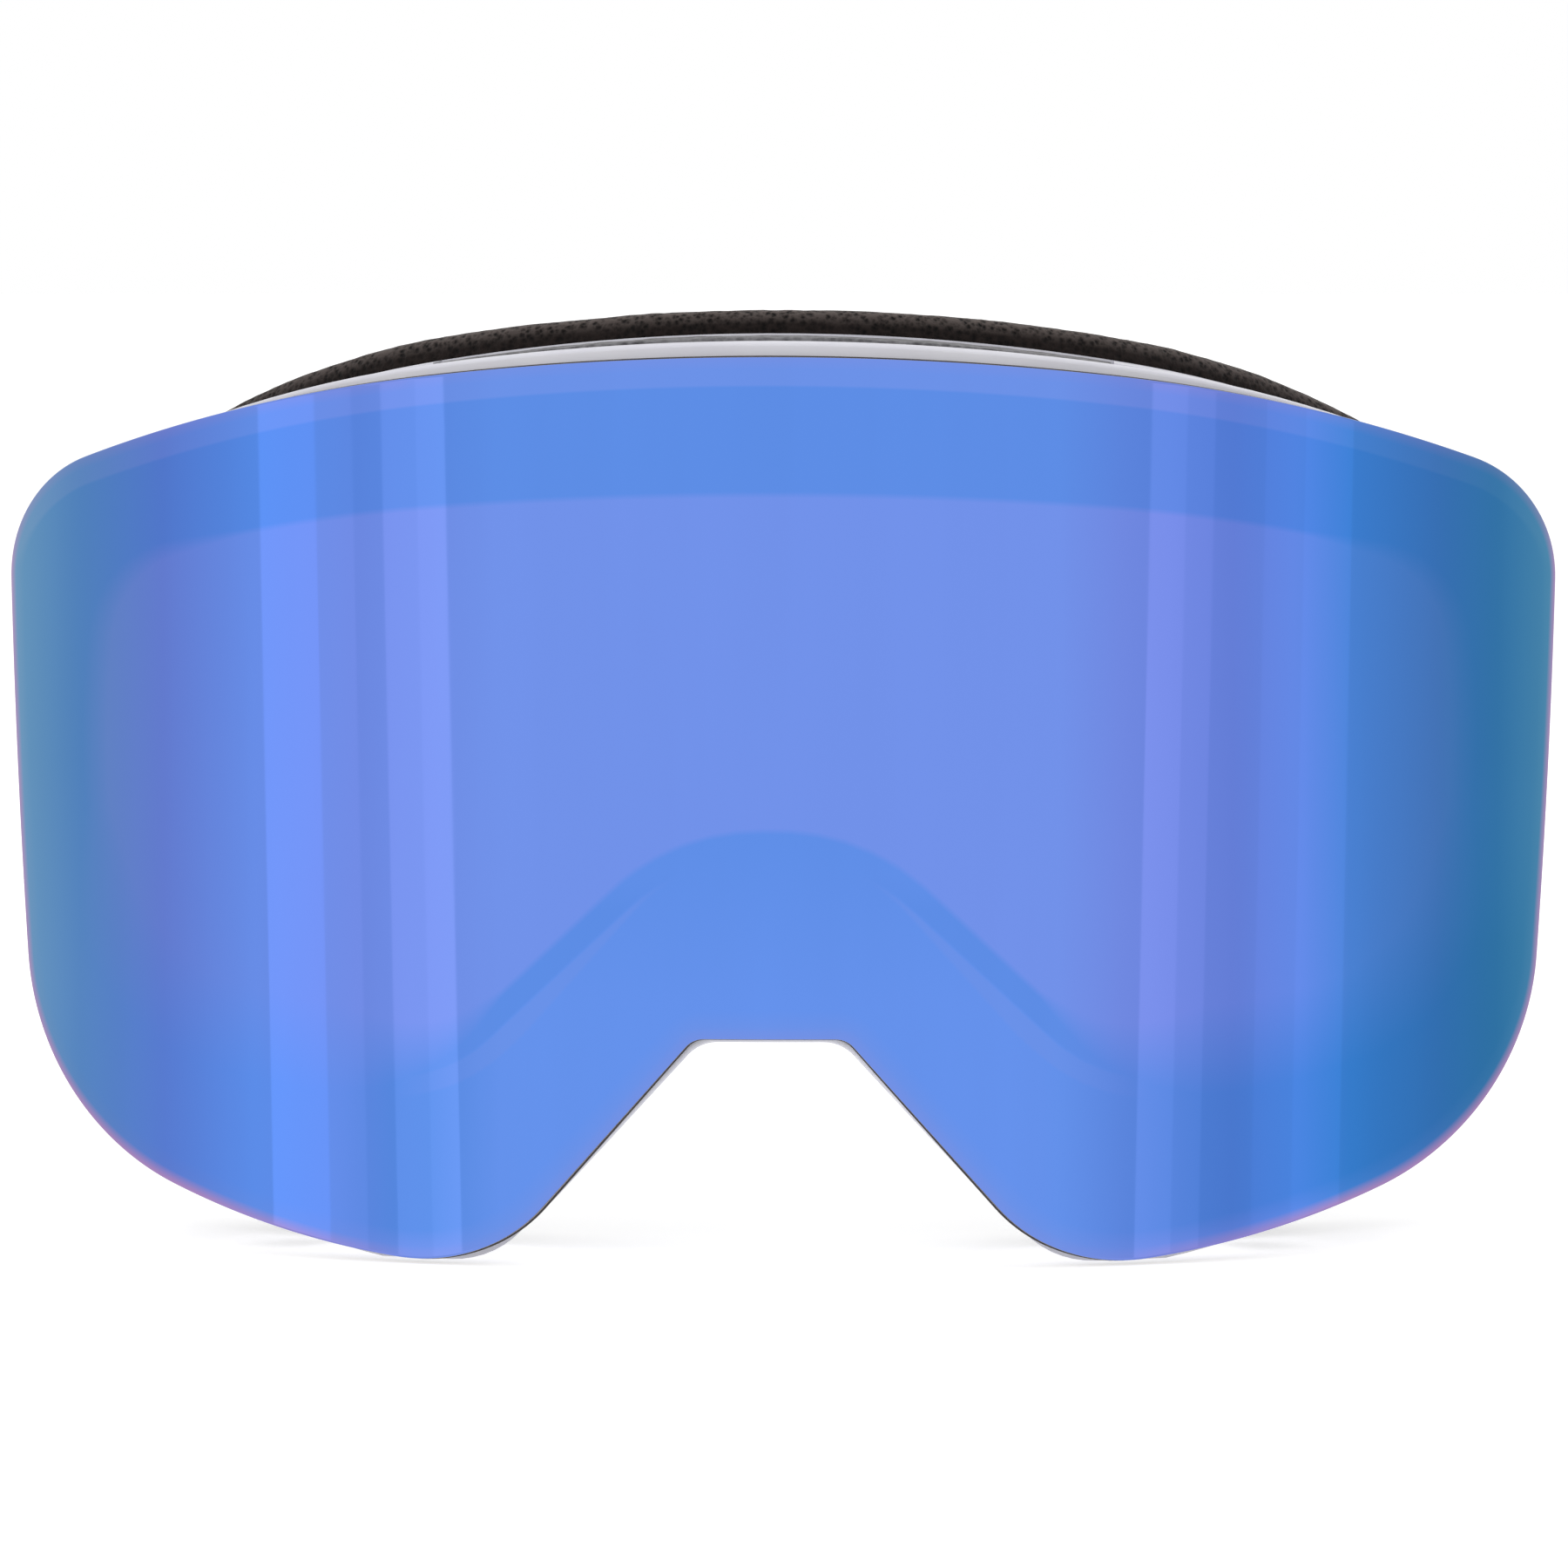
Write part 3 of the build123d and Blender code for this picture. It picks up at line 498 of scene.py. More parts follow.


# What lies behind the coating shows faintly through it, and its light and shade are painted into the
# coating's colour: darker outside the window, lighter over the nose with a groove of shade and a ridge
# of light along it, darkest at the foot of both ends, where the mirrored strips fade, and violet over
# the carrier's edge. A painted pink glint lies where the coating wraps round the lens's own edge.
BORDER_SHADE = (0.66, 0.93, 0.96)
HUMP_SHADE = (0.78, 1.00, 1.02)
FOOT_SHADE = (0.53, 0.91, 0.92)
CARRIER_SHADE = (0.90, 1.00, 0.98)
EDGE_FRINGE = (0.46, 0.24, 0.46)


def shade_behind(look, x, z, aside, window):
    """Painted light and shade of what shows through the coating round the window, by place in metres and
    reach into the window.
    """
    behind = look.mix(look.spread(z, 0.030, 0.055), HUMP_SHADE, BORDER_SHADE)
    # painted shade at the foot of both ends, where the mirrored strips are painted to fade
    left_foot = look.times(look.spread(z, 0.050, 0.034), look.spread(x, 0.030, 0.048))
    behind = look.mix(left_foot, behind, FOOT_SHADE)
    right_foot = look.times(look.spread(z, 0.042, 0.028), look.spread(x, -0.030, -0.038))
    right_foot = look.times(right_foot, look.spread(x, -0.049, -0.042, 0.0, 0.75))
    behind = look.mix(right_foot, behind, FOOT_SHADE)

    # a painted groove of shade and a painted ridge of light run along the window's edge over the nose
    flank = look.times(look.spread(z, 0.044, 0.040), look.spread(aside, 0.042, 0.030))
    groove_shade = look.times(look.spread(window, -2.9, -2.5), flank)
    behind = look.mix(groove_shade, behind, BORDER_SHADE)
    ridge_light_end = look.sums("ADD", window, look.spread(z, 0.043, 0.026, 2.9, 4.9))
    ridge_light = look.times(look.spread(window, -2.7, -3.0), look.spread(ridge_light_end, -0.3, 0.1))
    ridge_light = look.times(look.times(ridge_light, flank), 0.7)
    return look.mix(ridge_light, behind, CARRIER_SHADE)


def mirror_look():
    """The outer lens: an opaque blue mirror from outside, a rose tint seen through from inside."""
    look = Look("mirror_coating", (0.165, 0.287, 0.823), 0.03, Metallic=1.0)
    x, _, z = look.parts(look.place)
    aside = look.sums("ABSOLUTE", x, 0)
    inset, upward, window = (look.attribute(key) for key in ("inset", "upward", "window"))
    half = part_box("outer_lens")[1].x
    # the coating's blue with its painted reflection colours
    base = look.ramp(look.spread(x, -half, half), MIRROR_ACROSS)

    # the carrier's painted shade is a band, wide and crisp on top, narrower and softer elsewhere
    behind = shade_behind(look, x, z, aside, window)
    wide = look.spread(upward, 0.1, 0.9, 2.0, 3.2)
    blur = look.spread(upward, 0.1, 0.9, 1.2, 0.15)
    over_carrier = look.sums("DIVIDE", look.sums("SUBTRACT", wide, inset), blur)
    behind = look.mix(look.spread(over_carrier, -1, 1), behind, CARRIER_SHADE)
    shaded = look.node("ShaderNodeMix", data_type="RGBA", blend_type="MULTIPLY")
    shaded.inputs["Factor"].default_value = 1.0
    look.link(base, shaded.inputs[6])
    look.link(behind, shaded.inputs[7])

    # inside the window the painted shade gives way; its edge is crisp on top, softer at the sides and
    # softest at both feet
    feet = look.times(look.spread(z, 0.055, 0.034), look.spread(aside, 0.030, 0.048))
    side_blur = look.spread(aside, 0.060, 0.078, 0.35, 1.6)
    window_blur = look.sums("MAXIMUM", side_blur, look.spread(feet, 0.0, 1.0, 0.35, 5.0))
    in_window = look.spread(look.sums("DIVIDE", window, window_blur), -1, 1)
    base = look.mix(in_window, shaded.outputs[2], base)

    # the painted pink glint at the rim fades towards the top edge and towards the middle
    above = look.spread(upward, 0.2, 0.95, 0.75, 0.10)
    outer = look.spread(aside, 0.040, 0.065, 0.06, 0.75)
    fringe = look.times(look.spread(inset, 1.4, 0.3), look.sums("MINIMUM", above, outer))
    base = look.mix(fringe, base, EDGE_FRINGE)

    # faint upright streaks, and a polish that varies a little
    streaks = look.noise(6, 3, stretch=(1.0, 1.0, 0.06))
    streak_colour = look.node("ShaderNodeHueSaturation")
    look.link(base, streak_colour.inputs["Color"])
    look.link(look.spread(streaks, 0.3, 0.7, 0.99, 1.01), streak_colour.inputs["Value"])
    look.colour(streak_colour.outputs["Color"])
    look.link(look.spread(look.noise(22, 4), 0.3, 0.7, 0.022, 0.045), look.shader.inputs["Roughness"])
    clear = look.clear((0.86, 0.74, 0.70))
    look.surface(look.geometry("Backfacing"), look.shader.outputs["BSDF"], clear)
    return look


def glazing(name, tint, colour):
    """Thin clear plastic: mostly seen through, glossier at low angles."""
    look = Look(name, colour, 0.04)
    look.roughness(look.noise(15, 3), 0.03, 0.07)
    gloss = look.node("ShaderNodeFresnel")
    gloss.inputs["IOR"].default_value = 1.5
    look.surface(gloss.outputs["Fac"], look.clear(tint), look.shader.outputs["BSDF"])
    return look


UV_UNIT = 100.0              # millimetres of webbing in one UV unit, along and across
RIB_PITCH = 1.15
END_PITCH = 0.8
STRIPE_FROM, STRIPE_TO = 12.3, 14.5


def webbing_look():
    """Elastic webbing: woven ribs across, paired ends along, and a blue pinstripe at each side."""
    look = Look("strap_webbing", (0.02, 0.021, 0.026), 0.82, Sheen_Weight=0.25, Sheen_Roughness=0.45)
    uv = look.node("ShaderNodeUVMap", uv_map="along_strap")
    along, across, _ = look.parts(uv.outputs["UV"])
    ribs = look.sums("SINE", look.times(along, 2 * math.pi * UV_UNIT / RIB_PITCH), 0.0)
    ends = look.sums("SINE", look.times(across, 2 * math.pi * UV_UNIT / END_PITCH), 0.0)
    weave = look.times(ribs, ends)
    relief = look.sums("ADD", look.times(ribs, 0.6), weave)
    raised = look.spread(relief, -1.2, 1.4)
    shade = look.mix(raised, (0.008, 0.008, 0.010), (0.045, 0.047, 0.056))
    offset = look.sums("ABSOLUTE", across, 0.0)
    near, far = STRIPE_FROM / UV_UNIT, STRIPE_TO / UV_UNIT
    blur = 0.1 / UV_UNIT
    stripe = look.spread(offset, near - blur, near + blur)
    stripe = look.times(stripe, look.spread(offset, far + blur, far - blur))
    shade = look.mix(stripe, shade, look.mix(raised, (0.03, 0.05, 0.11), (0.10, 0.16, 0.34)))
    fuzz = look.spread(look.noise(0.5, 4), 0.35, 0.75, 0.0, 0.3)
    look.colour(look.mix(fuzz, shade, (0.06, 0.062, 0.07)))
    look.bump(relief, 0.09, 0.9)
    look.bump(look.noise(0.25, 3), 0.03)
    return look


def white_look():
    """Satin white moulding, faintly uneven, with soft handled edges and painted shade in its creases."""
    look = Look("white_moulding", (0.62, 0.62, 0.66), 0.38, Specular_IOR_Level=0.45)
    cloud = look.spread(look.noise(14, 4), 0.3, 0.7)
    shade = look.mix(cloud, (0.600, 0.597, 0.660), (0.650, 0.648, 0.700))
    # painted shade: darker in creases and hollows, where shade falls
    crease_shade = look.spread(look.geometry("Pointiness"), 0.47, 0.40, 0.0, 0.15)
    shade = look.mix(crease_shade, shade, (0.36, 0.35, 0.37))
    look.colour(look.mix(look.times(look.edges(), 0.5), shade, (0.74, 0.74, 0.76)))
    look.roughness(look.noise(2.5, 4), 0.34, 0.46)
    look.bump(look.noise(0.4, 3), 0.012, 0.6)
    return look


def metal_look(name, colour, roughness):
    """Plated metal with fine scratches and a cloudy polish."""
    look = Look(name, colour, roughness, Metallic=1.0)
    scratches = look.noise(0.5, 5, stretch=(1.0, 1.0, 12.0))
    look.roughness(scratches, roughness - 0.08, roughness + 0.14)
    cloud = look.spread(look.noise(2.0, 4), 0.3, 0.7)
    look.colour(look.mix(cloud, tuple(c * 0.8 for c in colour), colour))
    look.bump(scratches, 0.004, 0.5)
    return look


def edge_look():
    """The lens's polished rim, dark with a trace of the coating."""
    look = Look("lens_polished_edge", (0.030, 0.018, 0.028), 0.16)
    look.colour(look.mix(look.noise(3, 3), (0.020, 0.012, 0.018), (0.060, 0.030, 0.050)))
    look.roughness(look.noise(1.2, 3), 0.12, 0.24)
    return look


def fleece_look():
    """Short dark pile, paler where its tufts stand up."""
    look = Look("fleece_pile", (0.012, 0.012, 0.014), 0.95, Sheen_Weight=0.8, Sheen_Roughness=0.35)
    nap = look.noise(1.1, 5)
    look.colour(look.mix(look.spread(nap, 0.35, 0.7), (0.008, 0.008, 0.010), (0.050, 0.050, 0.056)))
    look.bump(nap, 0.22)
    look.bump(look.noise(0.22, 3), 0.08)
    return look


def silicone_look():
    """Soft blue silicone that lets a little light in."""
    look = Look(
        "silicone_bead", (0.05, 0.13, 0.42), 0.28,
        Subsurface_Weight=0.4, Subsurface_Radius=(0.001, 0.0015, 0.003), Coat_Weight=0.3,
    )
    look.colour(look.mix(look.noise(4, 3), (0.035, 0.10, 0.34), (0.07, 0.17, 0.50)))
    look.roughness(look.noise(0.8, 3), 0.22, 0.36)
    look.bump(look.noise(0.5, 3), 0.01)
    return look


def thread_look():
    """Spun thread, tone on tone with the webbing."""
    look = Look("stitch_thread", (0.05, 0.052, 0.06), 0.7, Sheen_Weight=0.3)
    look.colour(look.mix(look.noise(0.3, 3), (0.035, 0.037, 0.045), (0.085, 0.088, 0.10)))
    look.bump(look.noise(0.2, 2, stretch=(3.0, 3.0, 1.0)), 0.05)
    return look


black = moulded("black_moulding", (0.016, 0.016, 0.018), (0.085, 0.085, 0.09), 0.48)
carrier_black = moulded("carrier_moulding", (0.012, 0.011, 0.013), (0.05, 0.045, 0.05), 0.42)
white = white_look()
mirror = mirror_look()
tinted = glazing("lens_inside", (0.80, 0.56, 0.46), (0.10, 0.06, 0.05))
clear_plastic = glazing("inner_lens_clear", (0.97, 0.97, 0.98), (0.05, 0.05, 0.05))
lens_edge = edge_look()
nickel = metal_look("nickel_plate", (0.62, 0.62, 0.63), 0.25)
steel = metal_look("dark_steel", (0.20, 0.20, 0.21), 0.32)
acetal = moulded("acetal", (0.62, 0.61, 0.57), (0.75, 0.74, 0.70), 0.42)
closed_foam = foam("gasket_foam", (0.010, 0.010, 0.011), (0.035, 0.034, 0.035), 0.30, 0.05)
coarse_foam = foam("vent_foam", (0.050, 0.049, 0.053), (0.170, 0.168, 0.176), 1.10, 0.30)
# the face foam gets painted light on its sides that face up
charcoal_foam = foam(
    "face_foam", (0.0015, 0.0010, 0.0009), (0.013, 0.009, 0.008), 0.75, 0.20,
    top_light_colour=(0.100, 0.082, 0.076), sheen=0.03,
)
soft_foam = foam("comfort_foam", (0.060, 0.058, 0.060), (0.150, 0.146, 0.148), 0.42, 0.10)
fleece = fleece_look()
silicone = silicone_look()
thread = thread_look()


# ---- camera, light and ground ----------------------------
VIEW_DISTANCE = 1.265
VIEW_ELEVATION = math.radians(3.0)
VIEW_YAW = math.radians(1.6)
VIEW_WIDTH = 0.17604
VIEW_HEIGHT = 0.053          # of the point that the camera looks towards
VIEW_DEPTH = 0.020           # of that point behind the lens's front
VIEW_ASIDE = 0.00105         # how far the camera is shifted to the right
SENSOR = 36.0

scene = bpy.context.scene
target = Vector((0, FRONT_Y * MM + VIEW_DEPTH, VIEW_HEIGHT))
forward = Vector((
    -math.sin(VIEW_YAW) * math.cos(VIEW_ELEVATION),
    math.cos(VIEW_YAW) * math.cos(VIEW_ELEVATION),
    -math.sin(VIEW_ELEVATION),
))
right = forward.cross(Vector((0, 0, 1))).normalized()
camera = bpy.data.objects.new("camera", bpy.data.cameras.new("camera"))
camera.data.sensor_width = SENSOR
camera.data.lens = SENSOR * VIEW_DISTANCE / VIEW_WIDTH
camera.data.clip_start = 0.05
camera.data.clip_end = 60
camera.rotation_mode = "QUATERNION"
camera.rotation_quaternion = forward.to_track_quat("-Z", "Y")
camera.location = target - forward * VIEW_DISTANCE + right * VIEW_ASIDE
scene.collection.objects.link(camera)
scene.camera = camera
scene.view_settings.view_transform = "Standard"


def soft_light(name, place, aim, size, watts, seen_in_gloss):
    """A rectangular soft light that the camera doesn't see."""
    data = bpy.data.lights.new(name, "AREA")
    data.shape = "RECTANGLE"
    data.size, data.size_y = size
    data.energy = watts
    light = bpy.data.objects.new(name, data)
    light.location = place
    light.rotation_mode = "QUATERNION"
    light.rotation_quaternion = (Vector(aim) - Vector(place)).to_track_quat("-Z", "Y")
    light.visible_camera = False
    light.visible_glossy = seen_in_gloss
    scene.collection.objects.link(light)
    return light


middle = (0, 0, 0.05)
soft_light("key_front", (-0.4, -1.7, 0.7), middle, (1.4, 1.0), 12.0, seen_in_gloss=False)
soft_light("top", (0.0, 0.1, 1.6), middle, (1.2, 1.0), 3.0, seen_in_gloss=False)
soft_light("fill_behind", (0.6, 1.2, 1.1), middle, (1.0, 1.0), 6.0, seen_in_gloss=False)

# Tall strips of light that the lens mirrors: angles from straight ahead to the right, strength
# and colour. They lean outwards at the top.
STRIP_DISTANCE = 2.5
STRIP_HEIGHT = 3.0
STRIP_LEAN = math.radians(20)
STRIP_CENTRE = -0.075        # height that the middle of the lens mirrors
NEUTRAL = (1.0, 0.85, 0.95)
WARM = (1.0, 0.62, 0.50)
STRIPS = [
    (-70.9, -62.2, 0.23, NEUTRAL), (-62.2, -56.7, 0.12, WARM), (-52.4, -47.5, 0.26, WARM),
    (-47.5, -43.5, 0.36, WARM), (47.5, 52.5, 0.30, WARM), (52.5, 56.5, 0.16, WARM),
    (64, 70, 0.06, NEUTRAL), (70, 77.5, 0.12, NEUTRAL),
]
strip_aim = Vector((0, FRONT_Y * MM, STRIP_CENTRE))
for first, last, strength, tone in STRIPS:
    turn = math.radians((first + last) / 2)
    width = 2 * STRIP_DISTANCE * math.tan(math.radians(last - first) / 2) * math.cos(STRIP_LEAN)
    place = strip_aim + STRIP_DISTANCE * Vector((math.sin(turn), -math.cos(turn), 0))
    watts = strength * math.pi * width * STRIP_HEIGHT
    size = (width, STRIP_HEIGHT)
    strip = soft_light(f"strip_{first}", place, strip_aim, size, watts, seen_in_gloss=True)
    strip.data.color = tone
    lean = -math.copysign(STRIP_LEAN, turn)
    strip.rotation_quaternion = strip.rotation_quaternion @ Quaternion((0, 0, 1), lean)

# White all round, and a little weaker for the light that matt surfaces get from it.
MATT_SHARE = 0.72
world = bpy.data.worlds.new("studio")
scene.world = world
world.use_nodes = True
sky = world.node_tree.nodes["Background"]
sky.inputs["Color"].default_value = (1, 1, 1, 1)
path = world.node_tree.nodes.new("ShaderNodeLightPath")
level = world.node_tree.nodes.new("ShaderNodeMapRange")
set_range(level, 0.0, 1.0, 1.0, MATT_SHARE)
world.node_tree.links.new(path.outputs["Is Diffuse Ray"], level.inputs["Value"])
world.node_tree.links.new(level.outputs["Result"], sky.inputs["Strength"])

FLOOR_RADIUS = 12.0
FLOOR_SIDES = 64
floor_mesh = bpy.data.meshes.new("floor")
turns = [2 * math.pi * n / FLOOR_SIDES for n in range(FLOOR_SIDES)]
edge = [(FLOOR_RADIUS * math.cos(turn), FLOOR_RADIUS * math.sin(turn), 0) for turn in turns]
floor_mesh.from_pydata(edge, [], [tuple(range(FLOOR_SIDES))])
floor = bpy.data.objects.new("floor", floor_mesh)
scene.collection.objects.link(floor)
floor.visible_glossy = False
floor_look = Look(
    "pale_floor", (0.63, 0.63, 0.63), 0.9, Emission_Color=(1, 1, 1, 1), Emission_Strength=0.62
)
floor_look.colour(floor_look.mix(floor_look.noise(60, 3), (0.62, 0.62, 0.62), (0.64, 0.64, 0.64)))
dress(floor, floor_look)


# ---- outer lens ------------------------------------------
def unrolled(loop):
    """Turns the x of a front view into the distance round the lens's cylinder."""
    return np.stack([LENS_RADIUS * np.arcsin(loop[:, 0] / LENS_RADIUS), loop[:, 1]], 1)


def sheet_inside(loop, pitch):
    """Fills an outline with a net of points, and returns all points and the faces between them."""
    low, high = loop.min(0), loop.max(0)
    xs = np.arange(low[0], high[0], pitch)
    zs = np.arange(low[1], high[1], pitch)
    net = np.array([(x, z) for z in zs for x in xs])
    net = net[distance_into(loop, net) > 0.55 * pitch]
    points = [Vector(p) for p in np.concatenate([loop, net])]
    count = len(loop)
    border = [(n, (n + 1) % count) for n in range(count)]
    flat, _, faces, _, _, _ = geometry.delaunay_2d_cdt(points, border, [], 1, 1e-6)
    return np.array([tuple(p) for p in flat]), [tuple(f) for f in faces]


def bent(flat, radius):
    """Wraps an unrolled net round the lens's upright axis, which stands at the origin."""
    turn = flat[:, 0] / LENS_RADIUS
    return np.stack([radius * np.sin(turn), -radius * np.cos(turn), flat[:, 1]], 1)


def polished_object(name, points, faces, slots, facts, normals):
    """A smooth object with a slot number for each face, and facts and a fixed normal for each point."""
    mesh = bpy.data.meshes.new(name)
    mesh.from_pydata([tuple(p) for p in points * MM], [], faces)
    mesh.polygons.foreach_set("material_index", slots)
    directions = {"nx": normals[:, 0], "ny": normals[:, 1], "nz": normals[:, 2]}
    for key, values in {**facts, **directions}.items():
        mesh.attributes.new(key, "FLOAT", "POINT").data.foreach_set("value", values.astype(np.float32))
    work = bmesh.new()
    work.from_mesh(mesh)
    # the last row on each side and the border of the net within it are the same points
    bmesh.ops.remove_doubles(work, verts=work.verts, dist=2e-7)
    bmesh.ops.recalc_face_normals(work, faces=work.faces)
    flat_faces = [f for f in work.faces if len(f.verts) == 3]
    bmesh.ops.join_triangles(work, faces=flat_faces, angle_face_threshold=0.6, angle_shape_threshold=0.6)
    for face in work.faces:
        face.smooth = True
    work.to_mesh(mesh)
    work.free()
    kept = []
    for key in directions:
        values = np.zeros(len(mesh.vertices), np.float32)
        mesh.attributes[key].data.foreach_get("value", values)
        mesh.attributes.remove(mesh.attributes[key])
        kept.append(values)
    mesh.normals_split_custom_set_from_vertices(np.stack(kept, 1).tolist())
    piece = bpy.data.objects.new(name, mesh)
    scene.collection.objects.link(piece)
    return piece


EDGE_ROWS = (1, 0.78, 0.70, 0.4, 0.15, 0.07)    # rows of points, as shares of the edge band
RIM_TILTS = (0, 0.5, 1.1)    # radians, round the front edge of the rim
RIM_STARTS = 0.9             # tilt from which a face belongs to the rim
WINDOW_REACH = 10.0          # distances to the window's edge are kept up to this


def lens_sheet(name, loop, front, back, edge_round, edge_band, pitch):
    """A polished sheet bent to the lens's cylinder, with a rounded rim and rows of faces along it.

    Its faces get slot 0 in front, 1 behind and 2 on the rim. Attributes of its points are their
    distance from the rim, how far the rim there faces up, and their distance into the window.
    """
    loop = unrolled(loop)
    into = inward(loop)
    steps = [edge_band * share for share in EDGE_ROWS]
    rows = [(s, front, 0) for s in steps if s > edge_round]
    for tilt in RIM_TILTS:
        rows.append((edge_round * (1 - math.sin(tilt)), front - edge_round * (1 - math.cos(tilt)), tilt))
    rows += [(0, front - edge_round, math.pi / 2), (0, back + edge_round, math.pi / 2)]
    rows += [(edge_round, back, math.pi), (edge_band, back, math.pi)]
    points, normals, insets, uppers, faces, slots = [], [], [], [], [], []
    count = len(loop)
    for n, (inset, radius, tilt) in enumerate(rows):
        flat = loop + into * inset
        turn = flat[:, 0] / LENS_RADIUS
        aside = -into[:, :1] * np.stack([np.cos(turn), np.sin(turn), 0 * turn], 1)
        aside[:, 2] = -into[:, 1]
        points.append(bent(flat, radius))
        normals.append(math.cos(tilt) * bent(flat * (1, 0), 1) + math.sin(tilt) * aside)
        insets.append(np.full(count, inset))
        uppers.append(-into[:, 1])
        if n:
            a, b = (n - 1) * count, n * count
            faces += [(a + m, a + (m + 1) % count, b + (m + 1) % count, b + m) for m in range(count)]
            middle_tilt = (tilt + rows[n - 1][2]) / 2
            slots += [0 if middle_tilt < RIM_STARTS else 2 if tilt < math.pi else 1] * count
    inner, net_faces = sheet_inside(loop + into * edge_band, pitch)
    for radius, side, slot_number in ((front, 1, 0), (back, -1, 1)):
        base = sum(len(p) for p in points)
        points.append(bent(inner, radius))
        normals.append(side * bent(inner * (1, 0), 1))
        insets.append(np.full(len(inner), edge_band))
        uppers.append(np.zeros(len(inner)))
        faces += [tuple(base + k for k in f) for f in net_faces]
        slots += [slot_number] * len(net_faces)
    points = np.concatenate(points)
    x = LENS_RADIUS * points[:, 0] / np.hypot(points[:, 0], points[:, 1])
    window = outline(WINDOW_CHAIN, WINDOW_NOTCH, WINDOW_NOTCH_RADIUS)
    reach = distance_into(window, np.stack([x, points[:, 2]], 1))
    facts = {
        "inset": np.concatenate(insets),
        "upward": np.concatenate(uppers),
        "window": np.clip(reach, -WINDOW_REACH, WINDOW_REACH),
    }
    points += (0, FRONT_Y + LENS_RADIUS, 0)
    return polished_object(name, points, faces, slots, facts, np.concatenate(normals))


lens_loop = outline(LENS_CHAIN, LENS_NOTCH, LENS_NOTCH_RADIUS)
outer_lens = lens_sheet(
    "outer_lens_mirror", lens_loop, LENS_RADIUS, CARRIER_FRONT,
    edge_round=0.28, edge_band=6.0, pitch=3.0,
)
for look in (mirror, tinted, lens_edge):
    outer_lens.data.materials.append(look.material)
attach(outer_lens, "lens")
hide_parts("outer_lens")

# The bezel's opening and all that fits in it are drawn on the bezel's own, smaller cylinder.
SQUEEZE = np.array([BEZEL_MIDDLE / LENS_RADIUS, 1])
opening_loop = lens_loop * SQUEEZE
inner_loop = shifted(opening_loop, GASKET_INSET) * (LENS_RADIUS / GASKET_BACK, 1)
inner_lens = lens_sheet(
    "inner_lens_pane", inner_loop, GASKET_BACK, INNER_LENS_BACK,
    edge_round=0.15, edge_band=3.0, pitch=5.0,
)
for look in (clear_plastic, clear_plastic, lens_edge):
    inner_lens.data.materials.append(look.material)
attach(inner_lens, "lens")
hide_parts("inner_lens")

# ---- carrier and gasket of the lens ----------------------
CARRIER_PROUD = 0.25         # the carrier shows as a dark line round the lens
CARRIER_SLOPE = 1.1          # how far its outer side leans in towards the back
carrier_thick = CARRIER_FRONT - CARRIER_BACK
carrier_width = RIM_WIDTH + CARRIER_PROUD
carrier_middle = shifted(lens_loop, carrier_width / 2 - CARRIER_PROUD)
profile = pad_profile(carrier_width, carrier_thick, corner=0.3, crown=0.0, spacing=1.2)
profile[:, 1] += (CARRIER_FRONT + CARRIER_BACK) / 2
back_share = (CARRIER_FRONT - profile[:, 1]) / carrier_thick
profile[:, 0] -= np.minimum(profile[:, 0], 0) * back_share * CARRIER_SLOPE / (carrier_width / 2)
carrier = ring("lens_carrier_ring", carrier_middle, profile, on_lens)
dress(carrier, carrier_black)
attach(carrier, "lens")
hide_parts("lens_carrier")

gasket_loop = shifted(opening_loop, GASKET_INSET + GASKET_WIDTH / 2) / SQUEEZE
profile = pad_profile(GASKET_WIDTH, CARRIER_FRONT - GASKET_BACK, corner=0.5, crown=0.04, spacing=0.7)
profile[:, 1] += (CARRIER_FRONT + GASKET_BACK) / 2
gasket = ring("lens_gasket_foam", gasket_loop, profile, on_lens)
roughen(gasket, depth=0.10, size=3.0, seed=1)
dress(gasket, closed_foam)
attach(gasket, "lens")
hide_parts("lens_gasket")

# ---- face foam -------------------------------------------
face_loop = outline(FACE_CHAIN, FACE_NOTCH, FACE_NOTCH_RADIUS)
layers = [
    ("face_foam_base", "foam_charcoal_layer", BASE_FOAM, 0.0, 1.4, charcoal_foam, "face_foam"),
    ("face_foam_comfort", "foam_soft_layer", COMFORT_FOAM, LAYER_STEP, 1.8, soft_foam, "comfort_foam"),
    ("face_fleece", "fleece_layer", FLEECE, 2 * LAYER_STEP, 0.85, fleece, "fleece"),
]
depth = FOAM_FRONT
foam_middle = shifted(face_loop, FOAM_WIDTH / 2)
for number, (node, name, thick, inset, corner, look, slot) in enumerate(layers):
    profile = pad_profile(FOAM_WIDTH - 2 * inset, thick, corner, crown=0.03, spacing=0.7)
    profile[:, 1] += depth + thick / 2
    layer = ring(name, foam_middle, profile, on_face)
    roughen(layer, depth=0.14, size=8.0, seed=number + 2)
    roughen(layer, depth=0.07, size=1.4, seed=number + 12)
    dress(layer, look)
    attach(layer, "frame")
    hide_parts(node)
    depth += thick


# ---- strap -----------------------------------------------
along = np.array([-math.sin(STRAP_ANGLE), math.cos(STRAP_ANGLE)])
outward = np.array([math.cos(STRAP_ANGLE), math.sin(STRAP_ANGLE)])
bar = np.array([BAR_X, FRONT_Y + BAR_DEPTH])
straight_end = bar - outward * FOLD_RADIUS + along * STRAP_STRAIGHT
side_centre = straight_end - outward * STRAP_BEND
back_bend = STRAP_BEND + side_centre[0] / math.cos(SIDE_BEND_END)
end_direction = np.array([math.cos(SIDE_BEND_END), math.sin(SIDE_BEND_END)])
back_centre = side_centre + (STRAP_BEND - back_bend) * end_direction


